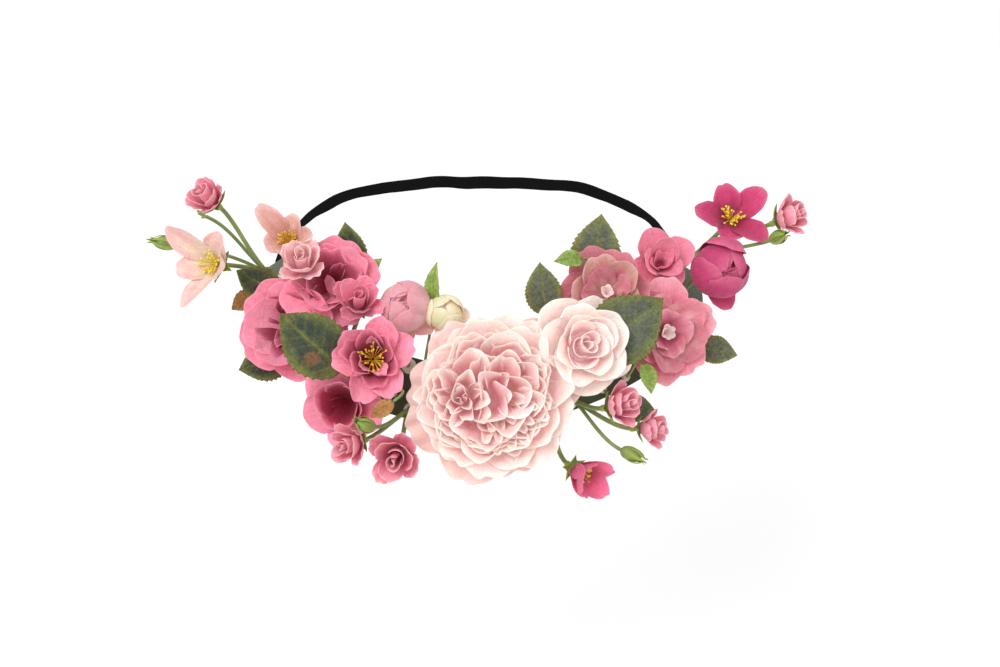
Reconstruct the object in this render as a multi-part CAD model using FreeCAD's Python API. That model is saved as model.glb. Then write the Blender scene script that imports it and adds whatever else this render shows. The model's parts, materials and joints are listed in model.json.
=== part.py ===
"""Flower crown: fabric flowers and leaves glued to a felt strip that is closed into a loop by elastic.

Frame: millimetres, +Z up, origin in the middle of the head opening at the height of the strip.
The wearer looks along -Y, so the big flower at the forehead is on the -Y side and +X is to its right
when the crown is seen from the front.

The crown is laid out around a closed ring path. A place on it is given by:
  angle   degrees around the ring, 0 at the forehead and positive towards +X
  across  mm across the felt strip from its middle, positive towards the head opening and up
  rise    mm outwards from the face of the felt
A flower's facing is an azimuth (0 is straight forwards, positive towards +X) and an elevation.
"""

import FreeCAD
import Part
import math
import os

Vector = FreeCAD.Vector
UP = Vector(0, 0, 1)

# Ring path: a superellipse, softly pointed at the forehead and full at the back of the head.
RING_HALF_WIDTH = 92.0
FRONT_HALF_DEPTH = 68.0
BACK_HALF_DEPTH = 72.0
FRONT_POWER = 1.65
BACK_POWER = 2.8

# Felt strip and what is glued between its two layers.
GARLAND_END = 100.0
STRIP_LEAN = 48.0
FELT_WIDTH = 26.0
FELT_BASE_THICK = 1.5
FELT_COVER_THICK = 1.2
SANDWICH_GAP = 1.5
FILM = 0.1
WIRE_RADIUS = 0.6
WIRE_ACROSS = 9.0
SECTION_STEP = 5.0

# Elastic: one flat woven loop, modelled in runs so that its back can be pulled out.
ELASTIC_WIDTH = 5.8
ELASTIC_THICK = 0.9
ELASTIC_HEIGHT = -FELT_BASE_THICK - SANDWICH_GAP / 2
BACK_LEAN = 128.0
ROLL_END = 150.0
SIDE_RUN_END = 128.0
RUN_GAP = 0.3

# Stitches that hold each elastic end to the felt: one row of short bars through every layer.
STITCH_ANGLES = (82.0, 86.0, 90.0, 94.0)
STITCH_RADIUS = 0.25
STITCH_PITCH = 3.0
STITCH_PROUD = 0.3

# Stems and the hot glue that holds them.
STEM_RADIUS = 1.0
TWIG_RADIUS = 0.8
STEM_HANDLE = 0.35
GLUE_RADIUS = 3.4
GLUE_HEIGHT = 1.3
GLUE_TAPER = 0.75
BALL_RADIUS = 1.6
RUNNING_GAP = 0.05

# Closed green buds and bare pronged tips moulded on the twigs.
GREEN_BUD_RADIUS = 2.9
GREEN_BUD_HEIGHT = 9.5
PRONG_LENGTH = 5.0
PRONG_SPREAD = 0.6
PRONG_TAPER = 0.7

# Petals and their calyx, as shares of a flower's radius.
PETAL_WALL = 0.09
OUTER_DEPTH = 0.50
OUTER_NOTCH = 0.16
INNER_RADIUS = 0.68
INNER_DEPTH = 0.50
INNER_NOTCH = 0.12
HEART_RADIUS = 0.40
HEART_DEPTH = 0.26
HEART_HEIGHT = 0.62
BLOSSOM_DEPTH = 0.40
BLOSSOM_NOTCH = 0.42
STAMEN_RADIUS = 0.26
STAMEN_DEPTH = 0.16
STAMEN_HEIGHT = 0.46
BUD_HEIGHT = 1.75
PEONY_WALL = 0.07
PEONY_DEPTH = 0.46
PEONY_NOTCH = 0.08
PEONY_CUP_RADIUS = 0.80
PEONY_HEART_RADIUS = 0.58
PEONY_HEART_DEPTH = 0.27
PETAL_LIFT = 0.35
CALYX_RADIUS = 0.24
PEG_LENGTH = 0.55

# A bud is widest at this share of its height.
BUD_WAIST = 0.45

# Foot of a calyx: its narrow end as a share of the ball's radius, its neck below the petals and its peg.
CALYX_FOOT = 0.8
CALYX_NECK = 0.6
PEG_RADIUS = 0.7

# Clearances, the smallest petal piece worth keeping, and a length beyond the whole crown.
LAYER_GAP = 0.3
CELL_GAP = 0.3
PASS_GAP = 0.15
SWING_ROOM = 1.0
SMALLEST_SCRAP = 1.0
FAR = 300.0

BLOOM_LOBES = 5
PEONY_LOBES = 7
POINTS_A_LOBE = 8

LEAF_THICK = 0.7
LEAF_BEND = 55.0
LEAF_BULGE = 1.6
STALK_RADIUS = 0.6
STALK_PAD_RADIUS = 2.0

# Flowers glued to the strip. root: angle and across of its glue pad.
# head: angle, across, rise, azimuth, elevation, radius.
PEONY = {"root": (4.5, 0), "head": (4.5, 0, 26, 2, 48, 35.0)}
ROSE = {"root": (33, 2), "head": (35, 12, 25, 20, 50, 20.5)}
BLOOMS = {
    "upper_left_bloom": {"root": (-66, 1), "head": (-63.5, 5, 18, -22, 46, 21.0)},
    "top_left_bloom": {"root": (-59, 8), "head": (-60, 28.5, 19, -8, 60, 17.0)},
    "left_cup_bloom": {"root": (-49, 3), "head": (-46, 27, 21, 6, 66, 8.0)},
    "lower_left_bloom": {"root": (-42, -8), "head": (-39, -14, 16, -30, 34, 15.5)},
    "left_stamen_bloom": {"root": (-35, 2), "head": (-32.5, 8, 29, 2, 50, 17.0)},
    "blush_bloom": {"root": (-27, 9), "head": (-31, 32, 12, -6, 62, 13.0)},
    "cream_bloom": {"root": (-14, 9), "head": (-15, 33, 10, 0, 64, 10.5)},
    "blush_bud": {"root": (-72, 9), "head": (-66, 30, 31, -8, 70, 7.0)},
    "mottled_bloom": {"root": (52, 8), "head": (55.5, 28, 15, 4, 60, 17.5)},
    "pink_bloom": {"root": (66, -3), "head": (66, 0, 16, 24, 44, 19.0)},
    "side_bloom": {"root": (76, 8), "head": (80, 23, 14, 10, 58, 11.5)},
    "round_bloom": {"root": (85, 2), "head": (86, 4, 24, 34, 42, 14.5)},
}

# Sprays: each is one moulded stem with a ball root, flower heads at its tips and sometimes a closed bud.
SPRAYS = {
    "left_spray": {
        "root": (-91, 4),
        "heads": {
            "left_tip_rosebud": (-98, 8, 46, -58, 58, 8.5),
            "left_white_blossom": (-86, 0, 37, -42, 40, 14.0),
        },
        "buds": {"left": (-91, -13, 46, -80, 20), "prong": (-90, 11, 49, -60, 45)},
    },
    "left_pink_sprig": {
        "root": (-77, 3),
        "heads": {"left_pink_blossom": (-79, 32.5, 26, -30, 66, 12.5)},
        "buds": {},
    },
    "right_spray": {
        "root": (95, 4),
        "heads": {
            "right_tip_rosebud": (98, -15, 50, 70, 40, 8.5),
            "right_open_blossom": (101, -0.5, 33, 24, 62, 14.0),
        },
        "buds": {"right": (93, -12.5, 44, 40, 50)},
    },
    "lower_right_spray": {
        "root": (33, -9),
        "heads": {
            "low_right_rosebud": (38.5, -16, 29, 62, 36, 8.0),
            "low_right_small_rosebud": (45.5, -30, 24, 70, 20, 6.8),
        },
        "buds": {"low": (38, -35, 22, 60, 0)},
    },
    "hanging_sprig": {
        "root": (24, -9),
        "heads": {"hanging_blossom": (25.5, -38, 20, 40, 12, 12.0)},
        "buds": {},
    },
    "lower_left_spray": {
        "root": (-22, -9),
        "heads": {
            "low_left_rosebud": (-18.5, -28, 26, -8, 34, 10.0),
            "low_left_small_rosebud": (-31, -28, 24, -42, 26, 8.0),
        },
        "buds": {"low_left": (-26, -19, 32, -50, 45)},
    },
}

# Leaves. root: angle and across of its stalk's glue. middle: angle, across, rise of the blade's middle.
# tip and face: azimuth and elevation of the ways the blade points and looks. blade: length and width.
LEAVES = {
    "green_leaves_left": [
        {"root": (-54, -3), "middle": (-50, 5, 37), "tip": (-122, 28), "face": (-2, 46), "blade": (34, 27)},
        {"root": (-66, -9), "middle": (-70, -18, 8), "tip": (-80, -12), "face": (-30, 40), "blade": (23, 18)},
        {"root": (-55, 10), "middle": (-64, 45, 12), "tip": (-160, 62), "face": (0, 30), "blade": (22, 15)},
        {"root": (-83, 0), "middle": (-83, 6, 17), "tip": (-105, 22), "face": (-20, 40), "blade": (20, 16)},
    ],
    "green_leaves_right": [
        {"root": (44, 2), "middle": (48, 13, 39), "tip": (118, 25), "face": (14, 44), "blade": (37, 30)},
        {"root": (26, 9), "middle": (34, 40, 9), "tip": (-165, 60), "face": (0, 30), "blade": (22, 16)},
        {"root": (66, 10), "middle": (64, 46, 8), "tip": (165, 50), "face": (4, 38), "blade": (29, 22)},
        {"root": (73, -9), "middle": (76, -22, 14), "tip": (82, -8), "face": (30, 50), "blade": (18, 13)},
        {"root": (45, -9), "middle": (49, -22, 12), "tip": (86, -10), "face": (20, 44), "blade": (16, 12)},
    ],
    "bright_leaves": [
        {"root": (-20, 10), "middle": (-21, 44, 17), "tip": (170, 72), "face": (-40, 20), "blade": (20, 8)},
        {"root": (-50, 10), "middle": (-52, 42, 12), "tip": (120, 30), "face": (0, 55), "blade": (13, 7)},
        {"root": (41, 11), "middle": (47, 48, 16), "tip": (-60, 20), "face": (0, 60), "blade": (14, 8)},
        {"root": (54, -9), "middle": (54, -12, 18), "tip": (20, -40), "face": (30, 40), "blade": (13, 8)},
    ],
    "brown_leaves": [
        {"root": (-86, -8), "middle": (-87, -10, 8), "tip": (-70, -30), "face": (-20, 40), "blade": (13, 9)},
        {"root": (-30, -4), "middle": (-24, -11, 35), "tip": (-70, -30), "face": (0, 45), "blade": (11, 7)},
    ],
}


# ---- ring path and places on the strip -----------------------------------------------------------


def ring_point(angle):
    """The point of the ring path at an angle, on the plane z = 0."""
    a = math.radians(angle)
    x = math.sin(a)
    y = -math.cos(a)
    power = FRONT_POWER if y < 0 else BACK_POWER
    depth = FRONT_HALF_DEPTH if y < 0 else BACK_HALF_DEPTH
    reach = (abs(x / RING_HALF_WIDTH) ** power + abs(y / depth) ** power) ** (-1 / power)
    return Vector(reach * x, reach * y, 0)


def strip_axes(angle, lean=STRIP_LEAN):
    """Unit vectors at an angle: along the ring, across the strip, and out of its face."""
    step = 2.0
    along = (ring_point(angle + step) - ring_point(angle - step)).normalize()
    level = along.cross(UP)
    tilt = math.radians(lean)
    out = level * math.cos(tilt) + UP * math.sin(tilt)
    across = UP * math.cos(tilt) - level * math.sin(tilt)
    return along, across, out


def strip_point(angle, across, rise, lean=STRIP_LEAN):
    """A place on or above the strip, as a point."""
    _, side, out = strip_axes(angle, lean)
    return ring_point(angle) + side * across + out * rise


def direction(azimuth, elevation):
    """A unit vector: azimuth 0 looks along -Y and turns towards +X."""
    a = math.radians(azimuth)
    e = math.radians(elevation)
    return Vector(math.sin(a) * math.cos(e), -math.cos(a) * math.cos(e), math.sin(e))


def elastic_lean(angle):
    """The elastic leaves the garland flat on the felt, then rolls to face up and inwards at the back."""
    from_front = abs((angle + 180) % 360 - 180)
    share = min(1.0, max(0.0, (from_front - GARLAND_END) / (ROLL_END - GARLAND_END)))
    smooth = share * share * (3 - 2 * share)
    return STRIP_LEAN + (BACK_LEAN - STRIP_LEAN) * smooth


# ---- solids that follow the ring -----------------------------------------------------------------


def band(start, end, width, low, high, lean=lambda angle: STRIP_LEAN):
    """A flat band along the ring between two angles, from height low to high, as one lofted solid."""
    count = max(2, round((end - start) / SECTION_STEP))
    sections = []
    for i in range(count + 1):
        angle = start + (end - start) * i / count
        tilt = lean(angle)
        half = width / 2
        corners = [(-half, low), (half, low), (half, high), (-half, high), (-half, low)]
        points = [strip_point(angle, across, rise, tilt) for across, rise in corners]
        sections.append(Part.makePolygon(points))
    return Part.makeLoft(sections, True, False)


def tube(curve, radius):
    """A round bar along a curve."""
    path = Part.Wire(curve.toShape())
    start = curve.value(curve.FirstParameter)
    heading = curve.tangent(curve.FirstParameter)[0]
    ring = Part.Wire(Part.makeCircle(radius, start, heading))
    return path.makePipeShell([ring], True, True)


def ring_wire(across, height):
    """A shaping wire along the garland."""
    count = round(2 * GARLAND_END / SECTION_STEP)
    reach = GARLAND_END - 3
    angles = [-reach + 2 * reach * i / count for i in range(count + 1)]
    curve = Part.BSplineCurve()
    curve.interpolate([strip_point(a, across, height) for a in angles])
    return tube(curve, WIRE_RADIUS)


def stitches(side):
    """A group of thread bars that pass through felt, elastic and felt at one end of the garland."""
    bars = []
    top = STITCH_PROUD
    bottom = -FELT_BASE_THICK - SANDWICH_GAP - FELT_COVER_THICK - STITCH_PROUD
    for angle in STITCH_ANGLES:
        for across in (-STITCH_PITCH / 2, STITCH_PITCH / 2):
            foot = strip_point(side * angle, across, bottom)
            head = strip_point(side * angle, across, top)
            bars.append(Part.makeCylinder(STITCH_RADIUS, (head - foot).Length, foot, head - foot))
    return bars


# ---- flower shapes, each about +Z with its petals starting at z = 0 ------------------------------


def placed(shape, point, axis):
    """The shape moved so that its +Z lies along the axis and its origin at the point."""
    moved = shape.copy()
    moved.Placement = FreeCAD.Placement(point, FreeCAD.Rotation(UP, axis)).multiply(shape.Placement)
    return moved


def arc_edge(start, corner, end):
    """A parabola from start to end whose end tangents meet at the corner."""
    curve = Part.BezierCurve()
    curve.setPoles([Vector(x, 0, z) for x, z in (start, corner, end)])
    return curve.toShape()


def straight(start, end):
    """A straight profile edge."""
    return Part.makeLine(Vector(start[0], 0, start[1]), Vector(end[0], 0, end[1]))


def revolved(edges):
    """A closed profile in the XZ plane, turned about +Z."""
    return Part.Face(Part.Wire(edges)).revolve(Vector(0, 0, 0), UP, 360)


def dish(radius, depth, wall):
    """A parabolic dish. A smaller dish of no less curvature nests on top of it without touching."""
    under = arc_edge((0, 0), (radius / 2, 0), (radius, depth))
    over = arc_edge((radius, depth + wall), (radius / 2, wall), (0, wall))
    rim = straight((radius, depth), (radius, depth + wall))
    return revolved([under, rim, over, straight((0, wall), (0, 0))])


def lobed_prism(radius, lobes, notch, height, turn):
    """An upright prism whose outline has round lobes: the outline of a die-cut petal blank."""
    points = []
    count = lobes * POINTS_A_LOBE
    for i in range(count):
        phase = 2 * math.pi * i / count
        reach = radius * (1 - notch * (0.5 - 0.5 * math.cos(lobes * phase)))
        points.append(Vector(reach * math.cos(phase + turn), reach * math.sin(phase + turn), 0))
    outline = Part.BSplineCurve()
    outline.interpolate(points, PeriodicFlag=True)
    return Part.Face(Part.Wire(outline.toShape())).extrude(Vector(0, 0, height))


def petal_layer(radius, depth, wall, lobes, notch, turn=0.0, lift=0.0):
    """One formed petal blank: a dish trimmed to a lobed outline, raised by lift."""
    height = 2 * (depth + wall)
    layer = dish(radius, depth, wall).common(lobed_prism(radius, lobes, notch, height, turn)).Solids[0]
    layer.translate(Vector(0, 0, lift))
    return layer


def heart(radius, depth, height, lift):
    """Tightly packed inner petals: a dome with a dished underside."""
    under = arc_edge((0, 0), (radius / 2, 0), (radius, depth))
    dome = arc_edge((radius, depth), (radius, height), (0, height))
    solid = revolved([under, dome, straight((0, height), (0, 0))])
    solid.translate(Vector(0, 0, lift))
    return solid


def egg(radius, height):
    """A closed bud with a rounded foot and a blunt tip."""
    waist = height * BUD_WAIST
    under = arc_edge((0, 0), (radius, 0), (radius, waist))
    over = arc_edge((radius, waist), (radius, height), (0, height))
    return revolved([under, over, straight((0, height), (0, 0))])


def calyx_drop():
    """How far the centre of a calyx's ball foot is below the petals."""
    return 2 * BALL_RADIUS + CALYX_NECK


def calyx(flower_radius, grow=0.0):
    """The moulded cup under a flower, a ball foot below it and a peg that the petals are threaded on."""
    drop = calyx_drop()
    rim = flower_radius * CALYX_RADIUS + grow
    cup = Part.makeCone(BALL_RADIUS * CALYX_FOOT, rim, drop, Vector(0, 0, -drop), UP)
    ball = Part.makeSphere(BALL_RADIUS + grow, Vector(0, 0, -drop))
    peg = Part.makeCylinder(PEG_RADIUS, drop + flower_radius * PEG_LENGTH, Vector(0, 0, -drop), UP)
    return cup.fuse([ball, peg]).removeSplitter().Solids[0]


def round_bloom(radius):
    """Two formed petal layers around a rolled heart."""
    wall = radius * PETAL_WALL
    step = wall + LAYER_GAP
    return [
        petal_layer(radius, radius * OUTER_DEPTH, wall, BLOOM_LOBES, OUTER_NOTCH),
        petal_layer(radius * INNER_RADIUS, radius * INNER_DEPTH, wall, BLOOM_LOBES, INNER_NOTCH,
                    math.pi / BLOOM_LOBES, step),
        heart(radius * HEART_RADIUS, radius * HEART_DEPTH, radius * HEART_HEIGHT, 2 * step),
    ]


def open_blossom(radius):
    """One five-petal layer, shallow and open."""
    return [petal_layer(radius, radius * BLOSSOM_DEPTH, radius * PETAL_WALL, BLOOM_LOBES, BLOSSOM_NOTCH)]


def stamens(radius):
    """A tuft of stamens, as one short closed cone that opens upwards."""
    foot = radius * PETAL_WALL + LAYER_GAP
    return [heart(radius * STAMEN_RADIUS, radius * STAMEN_DEPTH, radius * STAMEN_HEIGHT, foot)]


def rosebud(radius):
    """A half-open bud."""
    return [egg(radius, radius * BUD_HEIGHT)]


def leaf_blade(length, width, grow=0.0):
    """A pointed blade lying along +X with its face up, bent down towards both ends."""
    half = width / 2 + grow
    end = length / 2 + grow
    sides = []
    outline = [(-end, 0), (-end, half), (0, half * LEAF_BULGE), (end, 0)]
    for sign in (1, -1):
        curve = Part.BezierCurve()
        curve.setPoles([Vector(x, sign * y, 0) for x, y in outline])
        sides.append(curve.toShape())
    prism = Part.Face(Part.Wire(sides)).extrude(Vector(0, 0, 2 * LEAF_BEND))
    prism.translate(Vector(0, 0, -LEAF_BEND))
    centre = Vector(0, -width, -LEAF_BEND)
    side = Vector(0, 1, 0)
    shell = Part.makeCylinder(LEAF_BEND + LEAF_THICK + grow, 2 * width, centre, side)
    shell = shell.cut(Part.makeCylinder(LEAF_BEND - grow, 2 * width, centre, side))
    return max(prism.common(shell).Solids, key=lambda solid: solid.CenterOfMass.z)


def leaf(row, grow=0.0):
    """A leaf blade at its place, its tip and face turned the ways given."""
    tip = direction(*row["tip"])
    side = direction(*row["face"]).cross(tip).normalize()
    turn = FreeCAD.Rotation(tip, side, tip.cross(side), "XYZ")
    blade = leaf_blade(*row["blade"], grow)
    blade.Placement = FreeCAD.Placement(strip_point(*row["middle"]), turn)
    return blade


def leaf_stalk(row, grow=0.0):
    """The stalk from its dab of glue to the base of its blade."""
    tip = direction(*row["tip"])
    out = strip_axes(row["root"][0])[2]
    length = row["blade"][0]
    side = direction(*row["face"]).cross(tip).normalize()
    sag = length * length / (8 * LEAF_BEND)
    base = strip_point(*row["middle"]) - tip * (length / 2 + STALK_RADIUS) - tip.cross(side) * sag
    return bent_stem(strip_point(*row["root"], FILM), out, base, tip, STALK_RADIUS + grow)


# ---- flowers at their places ---------------------------------------------------------------------


def flower_foot(head):
    """Where a flower's petals start, and the way it faces."""
    angle, across, rise, azimuth, elevation, radius = head
    axis = direction(azimuth, elevation)
    return strip_point(angle, across, rise) - axis * (radius * PETAL_LIFT), axis


def stand(shapes, head):
    """Flower shapes moved to a flower's place."""
    foot, axis = flower_foot(head)
    return [placed(shape, foot, axis) for shape in shapes]


def stem_tip(head):
    """Where a stem ends: inside the ball foot of its flower."""
    foot, axis = flower_foot(head)
    return foot - axis * calyx_drop()


def bent_stem(root, root_heading, tip, tip_heading, radius):
    """A stem that leaves its root one way and reaches its tip another, on one smooth curve."""
    handle = (tip - root).Length * STEM_HANDLE
    curve = Part.BezierCurve()
    curve.setPoles([root, root + root_heading * handle, tip - tip_heading * handle, tip])
    return tube(curve, radius)


def glued_stem(flower, grow=0.0):
    """The cut-off stem of a flower that is glued to the strip."""
    out = strip_axes(flower["root"][0])[2]
    axis = flower_foot(flower["head"])[1]
    root = strip_point(*flower["root"], FILM)
    return bent_stem(root, out, stem_tip(flower["head"]), axis, STEM_RADIUS + grow)


def glue_pad(angle, across, radius=GLUE_RADIUS):
    """A flat dome of hot glue, soaked a little into the felt."""
    out = strip_axes(angle)[2]
    foot = strip_point(angle, across, -FILM)
    return Part.makeCone(radius, radius * GLUE_TAPER, GLUE_HEIGHT + FILM, foot, out)


def socket_pad(angle, across):
    """A glue pad with a round socket for the ball at a spray's root."""
    return glue_pad(angle, across).cut(Part.makeSphere(BALL_RADIUS + RUNNING_GAP, spray_root(angle, across)))


def spray_root(angle, across):
    """The centre of the ball at a spray's root: the point the spray bends about."""
    return strip_point(angle, across, 2 * FILM + BALL_RADIUS)


def bud_solids(kind, point, axis):
    """A closed green bud, or a bare three-pronged tip, moulded on the end of a twig."""
    if kind != "prong":
        return [placed(egg(GREEN_BUD_RADIUS, GREEN_BUD_HEIGHT), point - axis * TWIG_RADIUS, axis)]
    side = axis.cross(UP).normalize() * PRONG_SPREAD
    prongs = [axis, axis + side, axis - side]
    return [Part.makeCylinder(TWIG_RADIUS * PRONG_TAPER, PRONG_LENGTH, point, prong) for prong in prongs]


def spray_branches(spray, grow=0.0):
    """The branches of a spray: one to each flower head and a thinner one to each bud."""
    root = spray_root(*spray["root"])
    out = strip_axes(spray["root"][0])[2]
    ends = [(stem_tip(head), flower_foot(head)[1], STEM_RADIUS) for head in spray["heads"].values()]
    for place in spray["buds"].values():
        ends.append((strip_point(*place[:3]), direction(*place[3:]), TWIG_RADIUS))
    return [bent_stem(root, out, tip, axis, radius + grow) for tip, axis, radius in ends]


def spray_stem(spray):
    """One moulded stem: a ball root, its branches, and any buds."""
    whole = Part.makeSphere(BALL_RADIUS, spray_root(*spray["root"]))
    pieces = spray_branches(spray)
    for kind, place in spray["buds"].items():
        pieces += bud_solids(kind, strip_point(*place[:3]), direction(*place[3:]))
    for piece in pieces:
        whole = whole.fuse(piece)
    return whole.removeSplitter().Solids


# ---- keeping neighbours apart --------------------------------------------------------------------


def half_space(point, normal):
    """A large box that fills the side of a plane the normal points to."""
    box = Part.makeBox(2 * FAR, 2 * FAR, FAR, Vector(-FAR, -FAR, 0))
    return placed(box, point, normal)


def pressed_apart(solids, head, others):
    """Petals flattened against each neighbour that they would otherwise run into."""
    here = strip_point(*head[:3])
    for other in others:
        apart = strip_point(*other[:3]) - here
        if 0 < apart.Length < head[5] + other[5]:
            wall = here + apart * (head[5] / (head[5] + other[5])) - apart.normalize() * (CELL_GAP / 2)
            side = half_space(wall, apart)
            solids = [kept for solid in solids for kept in solid.cut(side).Solids]
    return solids


def cleared(solids, obstacles):
    """Petals with room for each stem, calyx and leaf that passes between them."""
    for obstacle in obstacles:
        box = obstacle.BoundBox
        solids = [
            kept
            for solid in solids
            for kept in (solid.cut(obstacle).Solids if solid.BoundBox.intersect(box) else [solid])
        ]
    return [solid for solid in solids if solid.Volume > SMALLEST_SCRAP]


# ---- assembly ------------------------------------------------------------------------------------


def all_leaves():
    """Every leaf row."""
    return [row for rows in LEAVES.values() for row in rows]


def glued_flowers():
    """Every flower that is glued straight to the strip, by the name of its petals."""
    return {"peony": PEONY, "rose": ROSE, **BLOOMS}


def all_heads():
    """Every flower head's numbers, by name."""
    heads = {name: flower["head"] for name, flower in glued_flowers().items()}
    for spray in SPRAYS.values():
        heads.update(spray["heads"])
    return heads


def passing_solids():
    """Everything that petals must leave room for, as pairs of owner and solid, grown by a gap."""
    passing = [("leaves", leaf(row, PASS_GAP)) for row in all_leaves()]
    passing += [("leaves", leaf_stalk(row, PASS_GAP)) for row in all_leaves()]
    for name, flower in glued_flowers().items():
        cup = stand([calyx(flower["head"][5], PASS_GAP)], flower["head"])[0]
        passing += [(name, glued_stem(flower, PASS_GAP)), (name, cup)]
    for name, spray in SPRAYS.items():
        passing += [(name, branch) for branch in spray_branches(spray, SWING_ROOM)]
    return passing


def fitted(name, shapes, passing):
    """A glued flower's petals at their place, pressed against neighbours and cleared of what passes."""
    heads = all_heads()
    head = heads.pop(name)
    pressed = pressed_apart(stand(shapes, head), head, heads.values())
    return cleared(pressed, [solid for owner, solid in passing if owner != name])


def strip_nodes():
    """Felt, wires, elastic and stitches."""
    cover_high = -FELT_BASE_THICK - SANDWICH_GAP
    low = ELASTIC_HEIGHT - ELASTIC_THICK / 2
    high = ELASTIC_HEIGHT + ELASTIC_THICK / 2
    end = GARLAND_END
    sides = [(-SIDE_RUN_END, -end - RUN_GAP), (end + RUN_GAP, SIDE_RUN_END)]
    back = (SIDE_RUN_END + RUN_GAP, 360 - SIDE_RUN_END - RUN_GAP)
    return {
        "felt_base": [band(-end, end, FELT_WIDTH, -FELT_BASE_THICK, 0)],
        "felt_cover": [band(-end, end, FELT_WIDTH, cover_high - FELT_COVER_THICK, cover_high)],
        "elastic_front_run": [band(-end, end, ELASTIC_WIDTH, low, high)],
        "elastic_side_runs": [band(*run, ELASTIC_WIDTH, low, high, elastic_lean) for run in sides],
        "elastic_back_run": [band(*back, ELASTIC_WIDTH, low, high, elastic_lean)],
        "shaping_wires": [ring_wire(side * WIRE_ACROSS, ELASTIC_HEIGHT) for side in (-1, 1)],
        "end_stitches": stitches(-1) + stitches(1),
    }


def peony_layers():
    """The big flower: wide guard petals, a cup of petals and a packed heart."""
    radius = PEONY["head"][5]
    wall = radius * PEONY_WALL
    step = wall + LAYER_GAP
    depth = radius * PEONY_DEPTH
    turn = math.pi / PEONY_LOBES
    cup = petal_layer(radius * PEONY_CUP_RADIUS, depth, wall, PEONY_LOBES, PEONY_NOTCH, turn, step)
    middle = heart(
        radius * PEONY_HEART_RADIUS, radius * PEONY_HEART_DEPTH, radius * HEART_HEIGHT, 2 * step
    )
    return {
        "peony_guard_petals": [petal_layer(radius, depth, wall, PEONY_LOBES, PEONY_NOTCH)],
        "peony_cup_petals": [cup],
        "peony_heart_petals": [middle],
    }


def bloom_shapes(name, radius):
    """The petal solids of one glued flower."""
    if name == "left_stamen_bloom":
        return open_blossom(radius)
    if name in ("blush_bud", "left_cup_bloom"):
        return rosebud(radius)
    return round_bloom(radius)


def flower_nodes():
    """The petals and calyces of every glued flower."""
    passing = passing_solids()
    nodes = {name: fitted("peony", shapes, passing) for name, shapes in peony_layers().items()}
    rose = round_bloom(ROSE["head"][5])
    nodes["rose_outer_petals"] = fitted("rose", rose[:2], passing)
    nodes["rose_heart_petals"] = fitted("rose", rose[2:], passing)
    for name, flower in BLOOMS.items():
        nodes[name + "_petals"] = fitted(name, bloom_shapes(name, flower["head"][5]), passing)
    opened = BLOOMS["left_stamen_bloom"]["head"]
    nodes["left_stamen_bloom_stamens"] = stand(stamens(opened[5]), opened)
    nodes["peony_calyx"] = stand([calyx(PEONY["head"][5])], PEONY["head"])
    nodes["rose_calyx"] = stand([calyx(ROSE["head"][5])], ROSE["head"])
    for side, sign in (("left", -1), ("right", 1)):
        heads = [flower["head"] for flower in BLOOMS.values() if flower["head"][0] * sign > 0]
        nodes[side + "_cluster_calyces"] = [stand([calyx(head[5])], head)[0] for head in heads]
    return nodes


def spray_nodes():
    """The sprays: a moulded stem each, their calyces, and the petals and stamens of each head."""
    nodes = {}
    for name, spray in SPRAYS.items():
        heads = spray["heads"]
        nodes[name + "_stem"] = spray_stem(spray)
        nodes[name + "_calyces"] = [stand([calyx(head[5])], head)[0] for head in heads.values()]
        for flower, head in heads.items():
            if flower.endswith("blossom"):
                nodes[flower + "_petals"] = stand(open_blossom(head[5]), head)
                nodes[flower + "_stamens"] = stand(stamens(head[5]), head)
            elif name.startswith("lower"):
                nodes.setdefault(name + "_rosebud_petals", []).extend(stand(rosebud(head[5]), head))
            else:
                nodes[flower + "_petals"] = stand(rosebud(head[5]), head)
    return nodes


def stem_nodes():
    """Cut-off stems of the glued flowers, leaf stalks, and all the glue."""
    flowers = glued_flowers().values()
    pads = [glue_pad(*flower["root"]) for flower in flowers]
    pads += [socket_pad(*spray["root"]) for spray in SPRAYS.values()]
    pads += [glue_pad(*row["root"], STALK_PAD_RADIUS) for row in all_leaves()]
    return {
        "flower_stems": [glued_stem(flower) for flower in flowers],
        "leaf_stalks": [leaf_stalk(row) for row in all_leaves()],
        "glue_pads": pads,
    }


def leaf_nodes():
    """The leaf blades, grouped by colour and side."""
    return {name: [leaf(row) for row in rows] for name, rows in LEAVES.items()}


def build():
    """Every node of the crown, as a dictionary of name to solids."""
    return {**strip_nodes(), **flower_nodes(), **spray_nodes(), **stem_nodes(), **leaf_nodes()}


def write(nodes, folder="parts"):
    """One STEP file per node."""
    os.makedirs(folder, exist_ok=True)
    for name, solids in nodes.items():
        Part.makeCompound(solids).exportStep(os.path.join(folder, name + ".step"))


if __name__ == "__main__":
    write(build())
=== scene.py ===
"""Looks for the flower crown: petals, sepals, stamens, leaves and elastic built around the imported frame.

Every flower takes its place, facing and size from its calyx and petals in the frame, and every leaf from
its blade. Shapes are worked out in millimetres and written in metres.
"""

import json
import math
import re

import bpy
import numpy as np
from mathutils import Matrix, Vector
from mathutils.bvhtree import BVHTree

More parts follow.
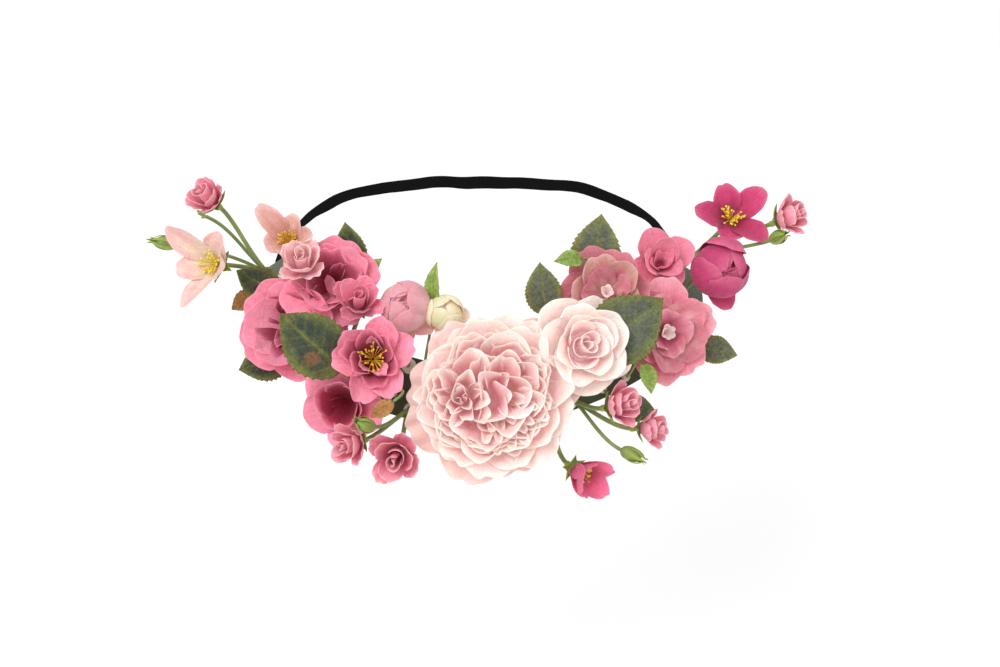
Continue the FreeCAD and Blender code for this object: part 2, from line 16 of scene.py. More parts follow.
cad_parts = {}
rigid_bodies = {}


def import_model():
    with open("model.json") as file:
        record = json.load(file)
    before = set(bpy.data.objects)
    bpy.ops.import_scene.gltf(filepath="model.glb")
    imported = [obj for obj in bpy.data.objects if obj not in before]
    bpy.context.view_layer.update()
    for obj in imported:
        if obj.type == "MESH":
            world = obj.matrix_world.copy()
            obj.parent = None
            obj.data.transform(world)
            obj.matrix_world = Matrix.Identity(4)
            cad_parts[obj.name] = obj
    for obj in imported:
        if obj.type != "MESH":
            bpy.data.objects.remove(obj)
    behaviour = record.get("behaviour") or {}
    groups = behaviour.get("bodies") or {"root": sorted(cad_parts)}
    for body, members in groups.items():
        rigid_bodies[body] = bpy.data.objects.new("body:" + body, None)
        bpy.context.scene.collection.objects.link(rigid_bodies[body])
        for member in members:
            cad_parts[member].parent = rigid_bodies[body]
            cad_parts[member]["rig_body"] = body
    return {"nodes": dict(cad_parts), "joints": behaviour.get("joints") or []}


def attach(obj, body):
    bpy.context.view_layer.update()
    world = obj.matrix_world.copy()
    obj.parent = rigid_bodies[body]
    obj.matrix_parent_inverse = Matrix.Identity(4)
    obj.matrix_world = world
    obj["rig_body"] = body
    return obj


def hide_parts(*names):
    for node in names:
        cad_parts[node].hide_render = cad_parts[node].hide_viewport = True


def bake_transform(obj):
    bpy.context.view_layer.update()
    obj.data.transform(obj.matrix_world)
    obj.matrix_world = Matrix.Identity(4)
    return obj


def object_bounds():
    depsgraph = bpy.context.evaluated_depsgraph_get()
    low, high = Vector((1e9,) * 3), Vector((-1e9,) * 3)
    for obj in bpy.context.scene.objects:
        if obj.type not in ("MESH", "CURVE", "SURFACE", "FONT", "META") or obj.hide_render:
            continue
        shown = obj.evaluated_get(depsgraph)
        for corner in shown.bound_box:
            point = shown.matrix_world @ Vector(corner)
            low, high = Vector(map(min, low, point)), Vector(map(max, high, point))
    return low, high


MM = 0.001
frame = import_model()
CAD_LOW, CAD_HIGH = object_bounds()
NODES = frame["nodes"]

# How far the lowest point of a calyx's ball foot is below the petals.
CALYX_HEIGHT = 5.4
# A calyx's end: the slice that gives its middle, and the length in which the two ends are compared.
END_SLICE, END_LENGTH = 0.25, 3
# Two places this near each other are the same calyx.
SAME_PLACE = 0.5

PETAL_THICK, SEPAL_THICK, PRONG_THICK, LEAF_THICK = 0.28, 0.35, 0.3, 0.35


# ---- reading places from the frame ----


def islands(node):
    """The separate solids of a CAD node, each as an array of points in millimetres."""
    mesh = NODES[node].data
    points = np.array([v.co for v in mesh.vertices]) / MM
    _, first, merged = np.unique(np.round(points, 3), axis=0, return_index=True, return_inverse=True)
    merged = merged.ravel()
    owner = list(range(len(first)))

    def root(i):
        while owner[i] != i:
            owner[i] = owner[owner[i]]
            i = owner[i]
        return i

    for edge in mesh.edges:
        a, b = (root(merged[end]) for end in edge.vertices)
        owner[a] = b
    roots = np.array([root(i) for i in range(len(first))])
    return [points[first][roots == label] for label in sorted(set(roots))]


def unit(v):
    """The vector at length 1."""
    return np.asarray(v, float) / np.linalg.norm(v)


def off_axis(points, foot, axis):
    """How far each point is from the line through foot along axis."""
    return np.linalg.norm(np.cross(points - foot, axis), axis=1)


def farthest(points, place):
    """The point farthest from a place."""
    return points[np.argmax(np.linalg.norm(points - place, axis=1))]


def calyx_axis(points):
    """The lowest point of a calyx's ball and the way the calyx points, from its farthest two ends."""
    one = farthest(points, points.mean(0))
    axis = unit(farthest(points, one) - one)
    for _ in range(3):
        along = points @ axis
        low = points[along < along.min() + END_SLICE].mean(0)
        high = points[along > along.max() - END_SLICE].mean(0)
        axis = unit(high - low)
    spread = off_axis(points, low, axis)
    along = (points - low) @ axis
    if spread[along > along.max() - END_LENGTH].max() > spread[along < END_LENGTH].max():
        low, axis = high, -axis
    return low, axis


def axes_about(axis):
    """Two unit vectors that make a right-handed set with the axis, the first as level as it can be."""
    level = np.cross([0, 0, 1.0], axis)
    if np.linalg.norm(level) < 1e-3:
        level = np.array([1.0, 0, 0])
    level = unit(level)
    return level, np.cross(axis, level)


CALYX_NODES = [n for n in NODES if n.endswith(("_calyx", "_calyces"))]
CALYCES = [(node, *calyx_axis(points)) for node in CALYX_NODES for points in islands(node)]


def seats(node):
    """For each flower in a petal node: its foot, its axis and its radius, in millimetres."""
    found = {}
    near = [c[1:] for c in CALYCES if NODES[c[0]]["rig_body"] == NODES[node]["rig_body"]]
    for cloud in islands(node):
        middle = cloud.mean(0)
        low, axis = min(near, key=lambda c: np.linalg.norm(c[0] + c[1] * CALYX_HEIGHT * 1.6 - middle))
        key = tuple(np.round(low, 2))
        held = found[key][2] if key in found else 0
        found[key] = (low + axis * CALYX_HEIGHT, axis, max(off_axis(cloud, low, axis).max(), held))
    return list(found.values())


# ---- meshes ----


def ring_faces(rings, sides, closed=False):
    """The faces between rings of points that follow each other, the last and first joined if closed."""
    faces = []
    for i in range(rings if closed else rings - 1):
        n = (i + 1) % rings
        for j in range(sides):
            k = (j + 1) % sides
            faces.append([i * sides + j, i * sides + k, n * sides + k, n * sides + j])
    return faces


class Sheet:
    """A growing mesh of thin closed sheets, with a tint and a place on the sheet at every point."""

    def __init__(self):
        self.points, self.faces, self.tints, self.places = [], [], [], []

    def add(self, points, faces, tints, places):
        start = len(self.points)
        self.points.extend(points.tolist())
        self.faces.extend([[start + i for i in face] for face in faces])
        self.tints.extend(tints.tolist())
        self.places.extend(places.tolist())

    def sheet(self, grid, thick, front, back, places):
        """A grid of points thickened into a closed sheet. front and back are the tints of its two sides."""
        rows, cols, _ = grid.shape
        normal = np.cross(np.gradient(grid, axis=0), np.gradient(grid, axis=1))
        normal /= np.maximum(np.linalg.norm(normal, axis=2, keepdims=True), 1e-9)
        count = rows * cols
        index = np.arange(count).reshape(rows, cols)
        quads = np.stack([index[:-1, :-1], index[1:, :-1], index[1:, 1:], index[:-1, 1:]], -1).reshape(-1, 4)
        rim = list(index[0]) + list(index[1:, -1]) + list(index[-1, -2::-1]) + list(index[-2:0:-1, 0])
        faces = [list(q) for q in quads] + [list(q[::-1] + count) for q in quads]
        faces += [[a, b, b + count, a + count] for a, b in zip(rim, rim[1:] + rim[:1])]

        def both(top, low):
            return np.concatenate([top.reshape(-1, 3), low.reshape(-1, 3)])

        half = normal * thick / 2
        self.add(both(grid + half, grid - half), faces, both(front, back), both(places, places))

    def rod(self, path, radii, tint, sides=8):
        """A round bar along a path, closed at both ends."""
        side = None
        rings = []
        turn = np.arange(sides) * 2 * math.pi / sides
        for point, forward, radius in zip(path, np.gradient(path, axis=0), np.broadcast_to(radii, len(path))):
            forward = unit(forward)
            if side is None:
                side = axes_about(forward)[0]
            side = unit(side - forward * (side @ forward))
            other = np.cross(forward, side)
            rings.append(point + radius * (np.outer(np.cos(turn), side) + np.outer(np.sin(turn), other)))
        last = (len(path) - 1) * sides
        ends = [list(range(sides))[::-1], list(range(last, last + sides))]
        points = np.concatenate(rings)
        self.add(points, ring_faces(len(path), sides) + ends, np.tile(tint, (len(points), 1)), points * 0.3)


def placed(name, data):
    """An object with the data, in the scene."""
    made = bpy.data.objects.new(name, data)
    bpy.context.scene.collection.objects.link(made)
    return made


def mesh_piece(name, sheet, material, body, replaced=(), rounds=1):
    """A sheet as a smooth piece that rides on a body."""
    mesh = bpy.data.meshes.new(name)
    mesh.from_pydata([[c * MM for c in p] for p in sheet.points], [], sheet.faces)
    mesh.polygons.foreach_set("use_smooth", [True] * len(mesh.polygons))
    tints = np.hstack([np.clip(sheet.tints, 0, 1), np.ones((len(sheet.tints), 1))])
    mesh.attributes.new("tint", "FLOAT_COLOR", "POINT").data.foreach_set("color", tints.ravel())
    places = mesh.attributes.new("place", "FLOAT_VECTOR", "POINT")
    places.data.foreach_set("vector", np.ravel(sheet.places))
    piece = placed(name, mesh)
    mesh.materials.append(material)
    if rounds:
        smooth = piece.modifiers.new("smooth", "SUBSURF")
        smooth.levels = smooth.render_levels = rounds
    if body:
        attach(piece, body)
    if replaced:
        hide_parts(*replaced)
    return piece


# ---- materials ----


class Paint:
    """A material being made: its nodes, its links and its Principled shader."""

    def __init__(self, name):
        self.material = bpy.data.materials.new(name)
        self.material.use_nodes = True
        self.nodes, self.links = self.material.node_tree.nodes, self.material.node_tree.links
        self.shader = self.nodes["Principled BSDF"]

    def set(self, made=None, **values):
        """Gives a node, or the Principled shader, property and input values. _ stands for a space."""
        made = made or self.shader
        for key, value in values.items():
            if hasattr(made, key):
                setattr(made, key, value)
            else:
                made.inputs[key.replace("_", " ")].default_value = value

    def node(self, kind, **values):
        """A node with the values given."""
        made = self.nodes.new("ShaderNode" + kind)
        self.set(made, **values)
        return made

    def link(self, source, target):
        """Joins an output to an input, or to the Principled shader's input of that name."""
        self.links.new(source, self.shader.inputs[target] if isinstance(target, str) else target)

    def carried(self, name, kind):
        """What the mesh carries at its points under a name."""
        return self.node("Attribute", attribute_name=name).outputs[kind]

    def noise(self, scale, detail, roughness=0.5, distortion=0.0, over=None):
        """Noise over the object's own coordinates, or over another vector."""
        made = self.node("TexNoise", Scale=scale, Detail=detail, Roughness=roughness, Distortion=distortion)
        self.link(over or self.node("TexCoord").outputs["Object"], made.inputs["Vector"])
        return made.outputs["Fac"]

    def remap(self, factor, low, high, start=0.0, end=1.0):
        """A factor that goes from start to end, made to go from low to high."""
        made = self.node("MapRange", From_Min=start, From_Max=end, To_Min=low, To_Max=high)
        self.link(factor, made.inputs["Value"])
        return made.outputs["Result"]

    def tint(self, factor):
        """The mesh's own tint, lightened and darkened by a factor."""
        made = self.node("VectorMath", operation="SCALE")
        self.link(self.carried("tint", "Color"), made.inputs[0])
        self.link(factor, made.inputs["Scale"])
        return made.outputs["Vector"]

    def ramp(self, factor, color, shares, stops):
        """The colour, times one share and then the other as the factor passes its stops."""
        made = self.node("ValToRGB")
        for element, share, stop in zip(made.color_ramp.elements, shares, stops):
            element.position = stop
            element.color = (*[min(1, c * share) for c in color], 1)
        self.link(factor, made.inputs["Fac"])
        self.link(made.outputs["Color"], "Base Color")

    def bumps(self, *heights):
        """Bumps, one after another: each is (height, strength, distance in metres)."""
        last = None
        for height, strength, distance in heights:
            made = self.node("Bump", Strength=strength, Distance=distance)
            self.link(height, made.inputs["Height"])
            if last is not None:
                self.link(last, made.inputs["Normal"])
            last = made.outputs["Normal"]
        self.link(last, "Normal")


def fabric(name, roughness, sheen, streak, blotch, grain, grain_scale, glow, lit, through=None):
    """Printed cloth: veins along the sheet, blotches, a coarse grain, soft creases and a little sheen.

    streak, blotch and grain are how far the veins, the creases and the grain lighten and darken the tint.
    glow is how much light spreads inside the cloth. lit is how strongly the cloth glows by itself, which
    stands in for light that reaches its folds through the sheets around them: in its own tint, or in the
    colour in through."""
    made = Paint(name)
    stretch = made.node("VectorMath", operation="MULTIPLY")
    stretch.inputs[1].default_value = (9.0, 1.3, 1.0)
    made.link(made.carried("place", "Vector"), stretch.inputs[0])
    veins = made.noise(1.0, 4.0, 0.6, over=stretch.outputs["Vector"])
    speck = made.noise(grain_scale, 3.0, 0.75)
    crease = made.noise(260.0, 4.0, 0.6, 0.6)
    factor = None
    for texture, amount in ((veins, streak), (crease, blotch), (speck, grain)):
        part = made.remap(texture, 1 - amount, 1 + amount, 0.3, 0.7)
        if factor is not None:
            product = made.node("Math", operation="MULTIPLY")
            made.link(factor, product.inputs[0])
            made.link(part, product.inputs[1])
            part = product.outputs["Value"]
        factor = part
    tint = made.tint(factor)
    made.link(tint, "Base Color")
    if through is None:
        made.link(tint, "Emission Color")
    else:
        made.set(Emission_Color=(*through, 1))
    made.link(made.remap(speck, roughness - 0.1, roughness + 0.1), "Roughness")
    made.set(Emission_Strength=lit, Sheen_Weight=sheen, Sheen_Roughness=0.4, Specular_IOR_Level=0.2,
             Subsurface_Weight=glow, Subsurface_Radius=(1.0, 0.4, 0.3), Subsurface_Scale=0.002)
    made.bumps((crease, 0.6, 0.0012), (veins, 0.6, 0.0006), (speck, 0.4, 0.0003))
    return made.material


SOFT = {"Subsurface_Weight": 0.1, "Subsurface_Scale": 0.001}


def moulded(name, color, roughness, mottle=0.18):
    """Moulded soft plastic: a mottled colour with a low, uneven sheen."""
    made = Paint(name)
    patch, fine = made.noise(160.0, 4.0), made.noise(1500.0, 2.0)
    made.ramp(patch, color, (1 - mottle, 1 + mottle), (0.3, 0.7))
    made.set(Roughness=roughness, **SOFT)
    made.bumps((patch, 0.3, 0.0004), (fine, 0.15, 0.0001))
    return made.material


def tinted(name, noise, vary, bump, **settings):
    """The mesh's own tint, made uneven by up to vary, with a fine bumpy skin."""
    made = Paint(name)
    skin = made.noise(*noise)
    made.link(made.tint(made.remap(skin, 1 - vary, 1 + vary)), "Base Color")
    made.set(**settings)
    made.bumps((skin, *bump))
    return made.material


def fuzzy(name, color):
    """Needled felt: matted fibres in a dark, uneven colour."""
    made = Paint(name)
    fibre, cloud = made.noise(900.0, 6.0, 0.8, 1.5), made.noise(110.0, 3.0)
    both = made.node("Mix", data_type="FLOAT", Factor=0.5)
    made.link(fibre, both.inputs[2])
    made.link(cloud, both.inputs[3])
    made.ramp(both.outputs[0], color, (0.55, 1.6), (0.3, 0.72))
    made.set(Roughness=0.95, Sheen_Weight=0.4, Specular_IOR_Level=0.15)
    made.bumps((fibre, 0.9, 0.0006), (cloud, 0.3, 0.0006))
    return made.material


PETAL = fabric("petal_cloth", 0.75, 0.1, 0.1, 0.1, 0.05, 1500.0, 0.15, 0.04)
PALE_PETAL = fabric("pale_petal_cloth", 0.75, 0.1, 0.03, 0.03, 0.03, 1500.0, 0.4, 0.11, (0.8, 0.45, 0.47))
LEAF = fabric("leaf_cloth", 0.82, 0.03, 0.06, 0.2, 0.4, 900.0, 0.05, 0.0)
GREEN = tinted("green_plastic", (420.0, 4.0), 0.25, (0.4, 0.0003), Roughness=0.45, **SOFT)
STAMEN = tinted("stamen_flock", (420.0, 4.0), 0.25, (0.4, 0.0003), Roughness=0.7, **SOFT)
ELASTIC = tinted("woven_elastic", (2200.0, 3.0, 0.7), 0.6, (0.5, 0.0002), Roughness=0.95,
                 Specular_IOR_Level=0.08)
FELT = fuzzy("green_felt", (0.055, 0.075, 0.035))
STEM = moulded("stem_plastic", (0.2, 0.27, 0.075), 0.45)
GLUE = moulded("hot_glue", (0.72, 0.68, 0.55), 0.25, 0.06)
WIRE = moulded("paper_wire", (0.1, 0.14, 0.06), 0.8)
THREAD = moulded("black_thread", (0.012, 0.012, 0.013), 0.8)


# ---- petals ----

# Tints are linear colours.
MAGENTA = (0.47, 0.062, 0.155)
MAGENTA_LIGHT = (0.86, 0.29, 0.4)
# The next two tints are used only at the feet of petals deep in the flowers. They are partly print and partly
# painted shade of the hollows.
MAGENTA_SHADED_FOOT = (0.32, 0.03, 0.07)
CRIMSON_SHADED_FOOT = (0.14, 0.002, 0.01)
PINK = (0.8, 0.29, 0.37)
PINK_LIGHT = (0.9, 0.5, 0.52)
BLUSH = (0.86, 0.595, 0.575)
ROSY = (0.86, 0.34, 0.35)
PEACH = (0.88, 0.54, 0.53)
ROSE_PINK = (0.93, 0.52, 0.53)
CREAM = (0.88, 0.71, 0.655)
PALE_RIM = (0.92, 0.815, 0.725)
WHITE = (0.94, 0.8, 0.76)
GREEN_CREAM = (0.7, 0.68, 0.38)

# How many steps a petal's curve from foot to tip is worked out in.
CURVE_STEPS = 80


def mix(a, b, t):
    """Colours mixed at each point: t is 0 for a and 1 for b."""
    t = np.clip(np.asarray(t), 0, 1)[..., None]
    return np.asarray(a) * (1 - t) + np.asarray(b) * t


def bell(x, width):
    """1 at x = 0, falling off smoothly over the width."""
    return np.exp(-((x / width) ** 2))


def unit_grid(rows, cols):
    """u from 0 at the foot to 1 at the tip, and v from -1 to 1 across, over a whole grid."""
    return np.meshgrid(np.linspace(0, 1, rows), np.linspace(-1, 1, cols), indexing="ij")


def petal(rng, length, width, start, lean, curl, cup, power=1.5, ruffle=0.0, waves=3.0, notch=0.0,
          rounding=0.3, base=0.3, roll=0.0, fold=0.0, sway=0.0, crumple=1.0, grid=(15, 13)):
    """One petal as a grid of points: x is away from the flower's axis, y across and z along the axis.

    lean and curl are the petal's slope at its foot and how far it turns on the way to its tip. cup is how
    far it curves across, ruffle, waves and crumple are its waves, notch and rounding shape its tip, base is
    the width of its foot, roll turns its edges back, and fold and sway crease it along the middle."""
    u, v = unit_grid(*grid)
    phase = rng.uniform(0, 6.28, 8)
    ragged = 0.012 * crumple * (np.sin(7 * v + phase[4]) + 0.7 * np.sin(12 * v + phase[5]))
    reach = 1 - rounding * np.abs(v) ** 2.3 - notch * bell(v, 0.17) + ragged
    share = np.clip(u * reach, 0, 1)
    fine = np.linspace(0, 1, CURVE_STEPS + 1)
    angle = np.radians(lean + curl * fine ** power)
    step = length / CURVE_STEPS
    radial = start[0] + np.concatenate([[0], np.cumsum(np.sin(angle[:-1]) * step)])
    height = start[1] + np.concatenate([[0], np.cumsum(np.cos(angle[:-1]) * step)])
    r, z, phi = (np.interp(share, fine, curve) for curve in (radial, height, angle))
    across = v * (width / 2 * (base + (1 - base) * np.sin(np.minimum(u * 0.66, 0.5) * math.pi) ** 0.9))
    bend = math.radians(max(cup, 1)) / width
    side = np.sin(bend * across) / bend
    edge = np.maximum(np.abs(v), u) ** 2
    lift = (1 - np.cos(bend * across)) / bend
    lift += ruffle * u ** 1.6 * np.sin(waves * math.pi * v + phase[0]) * (0.45 + 0.55 * edge)
    lift += 0.4 * ruffle * u ** 2 * np.sin(2.7 * waves * v + 4 * u + phase[1]) * edge
    lift -= roll * width * np.maximum(np.abs(v) - 0.45, 0) ** 2 * u
    lift -= 0.5 * fold * width * bell(v, 0.25) * u
    lift += sway * width * np.sin(math.pi * v) * u
    lift += 0.022 * crumple * length * u * np.sin(3.1 * u + phase[2]) * np.cos(2.4 * v + phase[3])
    lift += 0.01 * crumple * length * u ** 2 * np.sin(6.5 * u + phase[6]) * np.sin(5.1 * v + phase[7])
    return np.stack([r - lift * np.cos(phi), side, z + lift * np.sin(phi)], -1), u, v


def rotated(x, y, degrees):
    """Two coordinates turned about their origin."""
    a = math.radians(degrees)
    return x * math.cos(a) - y * math.sin(a), x * math.sin(a) + y * math.cos(a)


def turned(grid, first, second, degrees):
    """A grid with two of its coordinates turned about the middle of its middle line."""
    middle = grid[:, grid.shape[1] // 2, :].mean(0)
    a, b = rotated(grid[..., first] - middle[first], grid[..., second] - middle[second], degrees)
    grid = grid.copy()
    grid[..., first], grid[..., second] = a + middle[first], b + middle[second]
    return grid


def turn_about(grid, degrees):
    """A grid turned about the flower's axis."""
    return np.stack([*rotated(grid[..., 0], grid[..., 1], degrees), grid[..., 2]], -1)


def put(grid, seat):
    """Points of a flower, moved from its own axes to its seat in the frame."""
    foot, axis, _ = seat
    level, other = axes_about(axis)
    return foot + grid[..., 0:1] * level + grid[..., 1:2] * other + grid[..., 2:3] * axis


def places_on(u, v, layer):
    """Where each point is on its sheet. layer sets sheets apart, so that their veins differ."""
    return np.stack([v, u, np.full_like(u, layer)], -1)


class Colour:
    """How a petal is printed: foot to tip inside, its outside, and how light its rim is. Its darkest feet are
    partly print and partly painted shade deep in the flower.
    """

    def __init__(self, foot, tip, back, rim, reach, rim_share, vary=0.08, mottle=0.0, power=1.3):
        self.foot, self.tip, self.back, self.rim = foot, tip, back, rim
        self.reach, self.rim_share, self.vary, self.mottle, self.power = reach, rim_share, vary, mottle, power

    def paint(self, rng, u, v):
        """Front and back tints for a petal's grid."""
        shade = 1 + rng.uniform(-self.vary, self.vary)
        blotch = self.mottle * np.sin(7 * u + rng.uniform(0, 6)) * np.sin(6 * v + rng.uniform(0, 6))
        front = mix(self.foot, self.tip, (u / self.reach) ** self.power + blotch)
        back = mix(self.foot, self.back, 0.35 + u ** self.power + blotch)
        rim = np.clip(np.maximum(u, np.abs(v) * (0.35 + 0.65 * u)) * 5 - 4, 0, 1) * self.rim_share
        return mix(front, self.rim, rim) * shade, mix(back, self.rim, rim) * shade


class Whorls:
    """One flower being filled. Each call puts a whorl of petals into its sheet, at its seat."""

    def __init__(self, sheet, seat, rng):
        self.sheet, self.seat, self.rng = sheet, seat, rng

    def __call__(self, count, colour, turn, size, lean, curl, cup, start=(0.03, 0.0), ruffle=0.0, jitter=6.0,
                 vary=0.08, offset=(0.0, 0.0), arc=360.0, twist=6.0, yaw=0.0, **shape):
        """Petals of a size (length and width) over an arc. Lengths are shares of the flower's radius."""
        radius, rng = self.seat[2], self.rng
        for i in range(count):
            length, width = (side * radius * (1 + rng.uniform(-vary, vary)) for side in size)
            grid, u, v = petal(
                rng, length, width, [c * radius for c in start], lean + rng.uniform(-jitter, jitter) * 0.5,
                curl + rng.uniform(-jitter, jitter), cup, ruffle=ruffle * radius, **shape)
            around = turn + arc * i / count + rng.uniform(-jitter, jitter)
            grid = turned(turned(grid, 0, 1, yaw), 1, 2, rng.uniform(-twist, twist))
            grid = turn_about(grid, around)
            grid[..., :2] += np.array(offset) * radius
            front, back = colour.paint(rng, u, v)
            places = places_on(u, v, rng.uniform(0, 50))
            self.sheet.sheet(put(grid, self.seat), PETAL_THICK, front, back, places)


# Each recipe below fills one flower with petals.


def receptacle(whorl, colour, rise=0.07, reach=0.34):
    """Small level petals that hide what is under the middle of an open flower."""
    whorl(4, colour, 0, (reach, 1.2 * reach), 84, -10, 20, start=(0.0, rise), grid=(7, 7))


def peony_guard(whorl):
    """Wide ruffled petals under the big flower: greyish pink below, cream above."""
    low = Colour(ROSY, (0.8, 0.53, 0.49), (0.7, 0.49, 0.46), CREAM, 0.8, 0.4, 0.05)
    high = Colour(ROSY, BLUSH, BLUSH, PALE_RIM, 0.9, 0.8, 0.05)
    whorl(9, low, 8, (1.02, 0.8), 70, 16, 30, ruffle=0.05, waves=3.2, start=(0.05, 0.0), notch=0.07,
          grid=(17, 15))
    whorl(9, high, 26, (1.03, 0.78), 58, 16, 42, ruffle=0.042, waves=2.8, start=(0.05, 0.06), notch=0.07,
          grid=(17, 15))


def peony_cup(whorl):
    """Rounded cupped petals, cream at the rim and pink inside, that stand round the heart as a wall."""
    outer = Colour(PEACH, BLUSH, CREAM, PALE_RIM, 1.0, 1.0, 0.03, power=1.6)
    inner = Colour(PEACH, ROSE_PINK, BLUSH, PALE_RIM, 0.9, 1.0, 0.03, power=1.6)
    whorl(8, outer, 12, (0.94, 0.74), 56, -4, 66, ruffle=0.03, waves=2.2, start=(0.16, 0.06), notch=0.06,
          grid=(17, 13))
    whorl(8, outer, 36, (0.82, 0.66), 48, -16, 80, ruffle=0.028, waves=2.2, start=(0.22, 0.1), notch=0.05)
    whorl(7, inner, 5, (0.72, 0.6), 38, -18, 88, ruffle=0.028, waves=2.2, start=(0.3, 0.14), notch=0.06)


def swirl(whorl, middle, turn, deep, pale):
    """A small knot of folded petals, tight and deep pink inside and paler round its edge."""
    for ring, (reach, count) in enumerate(((0.01, 2), (0.05, 3), (0.1, 4), (0.155, 5))):
        whorl(count, deep if ring < 2 else pale, turn + 47 * ring, (0.57 + 0.015 * ring, 0.13 + 0.06 * ring),
              2 + 3 * ring, 4 + 13 * ring, 150, jitter=14, vary=0.12, offset=middle, twist=14, power=4.0,
              fold=0.2, ruffle=0.022, waves=1.8, start=(reach, 0.16), notch=0.08, rounding=0.2, grid=(11, 9))


def peony_heart(whorl):
    """Quartered heart: broad curved folds of pink cloth, one knot, a comb of pale folds and smooth petals."""
    deep = Colour((0.88, 0.4, 0.44), (0.9, 0.62, 0.63), ROSE_PINK, PALE_RIM, 0.8, 0.8, 0.04, power=1.3)
    pale = Colour(PEACH, BLUSH, PINK_LIGHT, PALE_RIM, 0.95, 1.0, 0.03, power=1.8)
    cream = Colour(PEACH, CREAM, BLUSH, PALE_RIM, 0.9, 1.0, 0.02, power=1.8)
    whorl(5, pale, 0, (0.42, 0.5), 70, -10, 40, start=(0.0, 0.13), grid=(9, 9))
    swirl(whorl, (-0.36, -0.04), 20, deep, pale)
    folds = 34
    for i in range(folds):
        out = 0.54 * math.sqrt((i + 0.5) / folds)
        around = 137.5 * i
        x, y = out * math.cos(math.radians(around)), out * math.sin(math.radians(around))
        if math.hypot(x + 0.36, y + 0.04) < 0.18 or (y > 0.34 and x > -0.3):
            continue
        yaw = whorl.rng.uniform(-45, 45)
        whorl(1, deep if out < 0.26 else pale, around, (0.6 + 0.04 * out, whorl.rng.uniform(0.36, 0.56)),
              8 + 34 * out, whorl.rng.uniform(6, 26), whorl.rng.uniform(60, 130), jitter=12, vary=0.16,
              twist=12, yaw=yaw, power=3.0, sway=whorl.rng.uniform(-0.14, 0.14), fold=0.12, ruffle=0.026,
              waves=1.4, start=(out * 0.9, 0.15), notch=0.06, rounding=0.24, base=0.5, grid=(13, 11))
    for reach, count, tall in ((0.44, 8, 0.62), (0.31, 7, 0.6), (0.19, 5, 0.58)):
        whorl(count, cream, -98, (tall, 0.19), 18, 36, 140, arc=112, jitter=4, vary=0.1, power=3.0, fold=0.3,
              ruffle=0.014, start=(reach, 0.17), notch=0.1, rounding=0.34, grid=(11, 9))
    whorl(6, pale, 128, (0.66, 0.42), 26, 4, 90, arc=130, jitter=8, vary=0.12, twist=10, power=3.0, sway=0.05,
          ruffle=0.03, start=(0.4, 0.14), notch=0.06, rounding=0.25, grid=(11, 11))
    whorl(2, pale, 18, (0.7, 0.46), 22, 6, 90, arc=40, jitter=4, twist=6, power=3.0, ruffle=0.03,
          start=(0.42, 0.14), notch=0.06, rounding=0.25, grid=(11, 11))
    smooth = Colour(PEACH, CREAM, CREAM, PALE_RIM, 0.9, 0.9, 0.02)
    whorl(1, smooth, 70, (0.8, 0.7), 28, 8, 78, jitter=0, vary=0.0, twist=0, start=(0.36, 0.16),
          rounding=0.36, crumple=0.3, grid=(17, 13))
    whorl(1, smooth, 116, (0.72, 0.66), 34, 6, 90, jitter=0, vary=0.0, twist=0, ruffle=0.03,
          start=(0.36, 0.16), rounding=0.3, grid=(17, 13))
    whorl(2, pale, 66, (0.64, 0.5), 20, 8, 110, arc=80, jitter=0, vary=0.0, twist=4, ruffle=0.03,
          start=(0.24, 0.14), notch=0.05, rounding=0.28)


def rose_outer(whorl):
    """Outer petals of the pale rose, rolled back at the rim."""
    colour = Colour(BLUSH, CREAM, BLUSH, PALE_RIM, 0.85, 0.9, 0.03, power=1.6)
    blushed = Colour(ROSE_PINK, CREAM, CREAM, PALE_RIM, 0.9, 0.9, 0.03, power=1.6)
    whorl(5, colour, 51, (1.3, 1.26), 46, 44, 70, power=3.0, roll=0.18, ruffle=0.03, waves=1.6, grid=(17, 13))
    whorl(5, colour, 14, (1.24, 1.14), 32, 46, 95, power=3.2, roll=0.16, start=(0.05, 0.06), ruffle=0.03,
          waves=1.6, grid=(17, 13))
    whorl(4, blushed, 10, (1.16, 1.02), 19, 38, 115, power=3.6, roll=0.1, start=(0.08, 0.1), ruffle=0.02,
          grid=(17, 13))


def rose_heart(whorl):
    """Spiral heart: rolled petals, each one a little farther out and round than the last."""
    colour = Colour((0.94, 0.6, 0.61), (0.95, 0.74, 0.73), (0.95, 0.72, 0.71), PALE_RIM, 0.7, 0.8, 0.04,
                    power=1.2)
    for i in range(9):
        grow = i / 8
        whorl(1, colour, 137 * i, (1.02 + 0.06 * grow, 0.34 + 0.66 * grow), 1 + 11 * grow, 6 + 20 * grow,
              230 - 80 * grow, jitter=3, vary=0.03, power=4.0, roll=0.05 * grow,
              start=(0.05 + 0.27 * grow, 0.12), rounding=0.14)
    receptacle(whorl, colour, 0.6, 0.44)


def camellia(whorl, colour, inside):
    """A large bloom of broad cupped petals round a hollow whose dark is partly print and partly painted
    shade.
    """
    whorl(5, colour, 10, (1.28, 1.34), 70, -8, 66, jitter=9, twist=10, ruffle=0.035, waves=1.2, notch=0.07,
          grid=(17, 15))
    whorl(5, colour, 44, (1.18, 1.16), 54, -16, 90, jitter=9, twist=12, ruffle=0.035, waves=1.3, notch=0.08,
          start=(0.05, 0.05), grid=(17, 15))
    whorl(4, inside, 0, (0.98, 1.00), 48, -12, 96, jitter=12, twist=14, ruffle=0.045, waves=1.5, notch=0.08,
          start=(0.08, 0.08))
    whorl(4, inside, 60, (0.66, 0.44), 38, -4, 100, jitter=18, twist=20, sway=0.1, fold=0.25, ruffle=0.06,
          start=(0.14, 0.08), notch=0.08, grid=(13, 11))
    receptacle(whorl, inside)


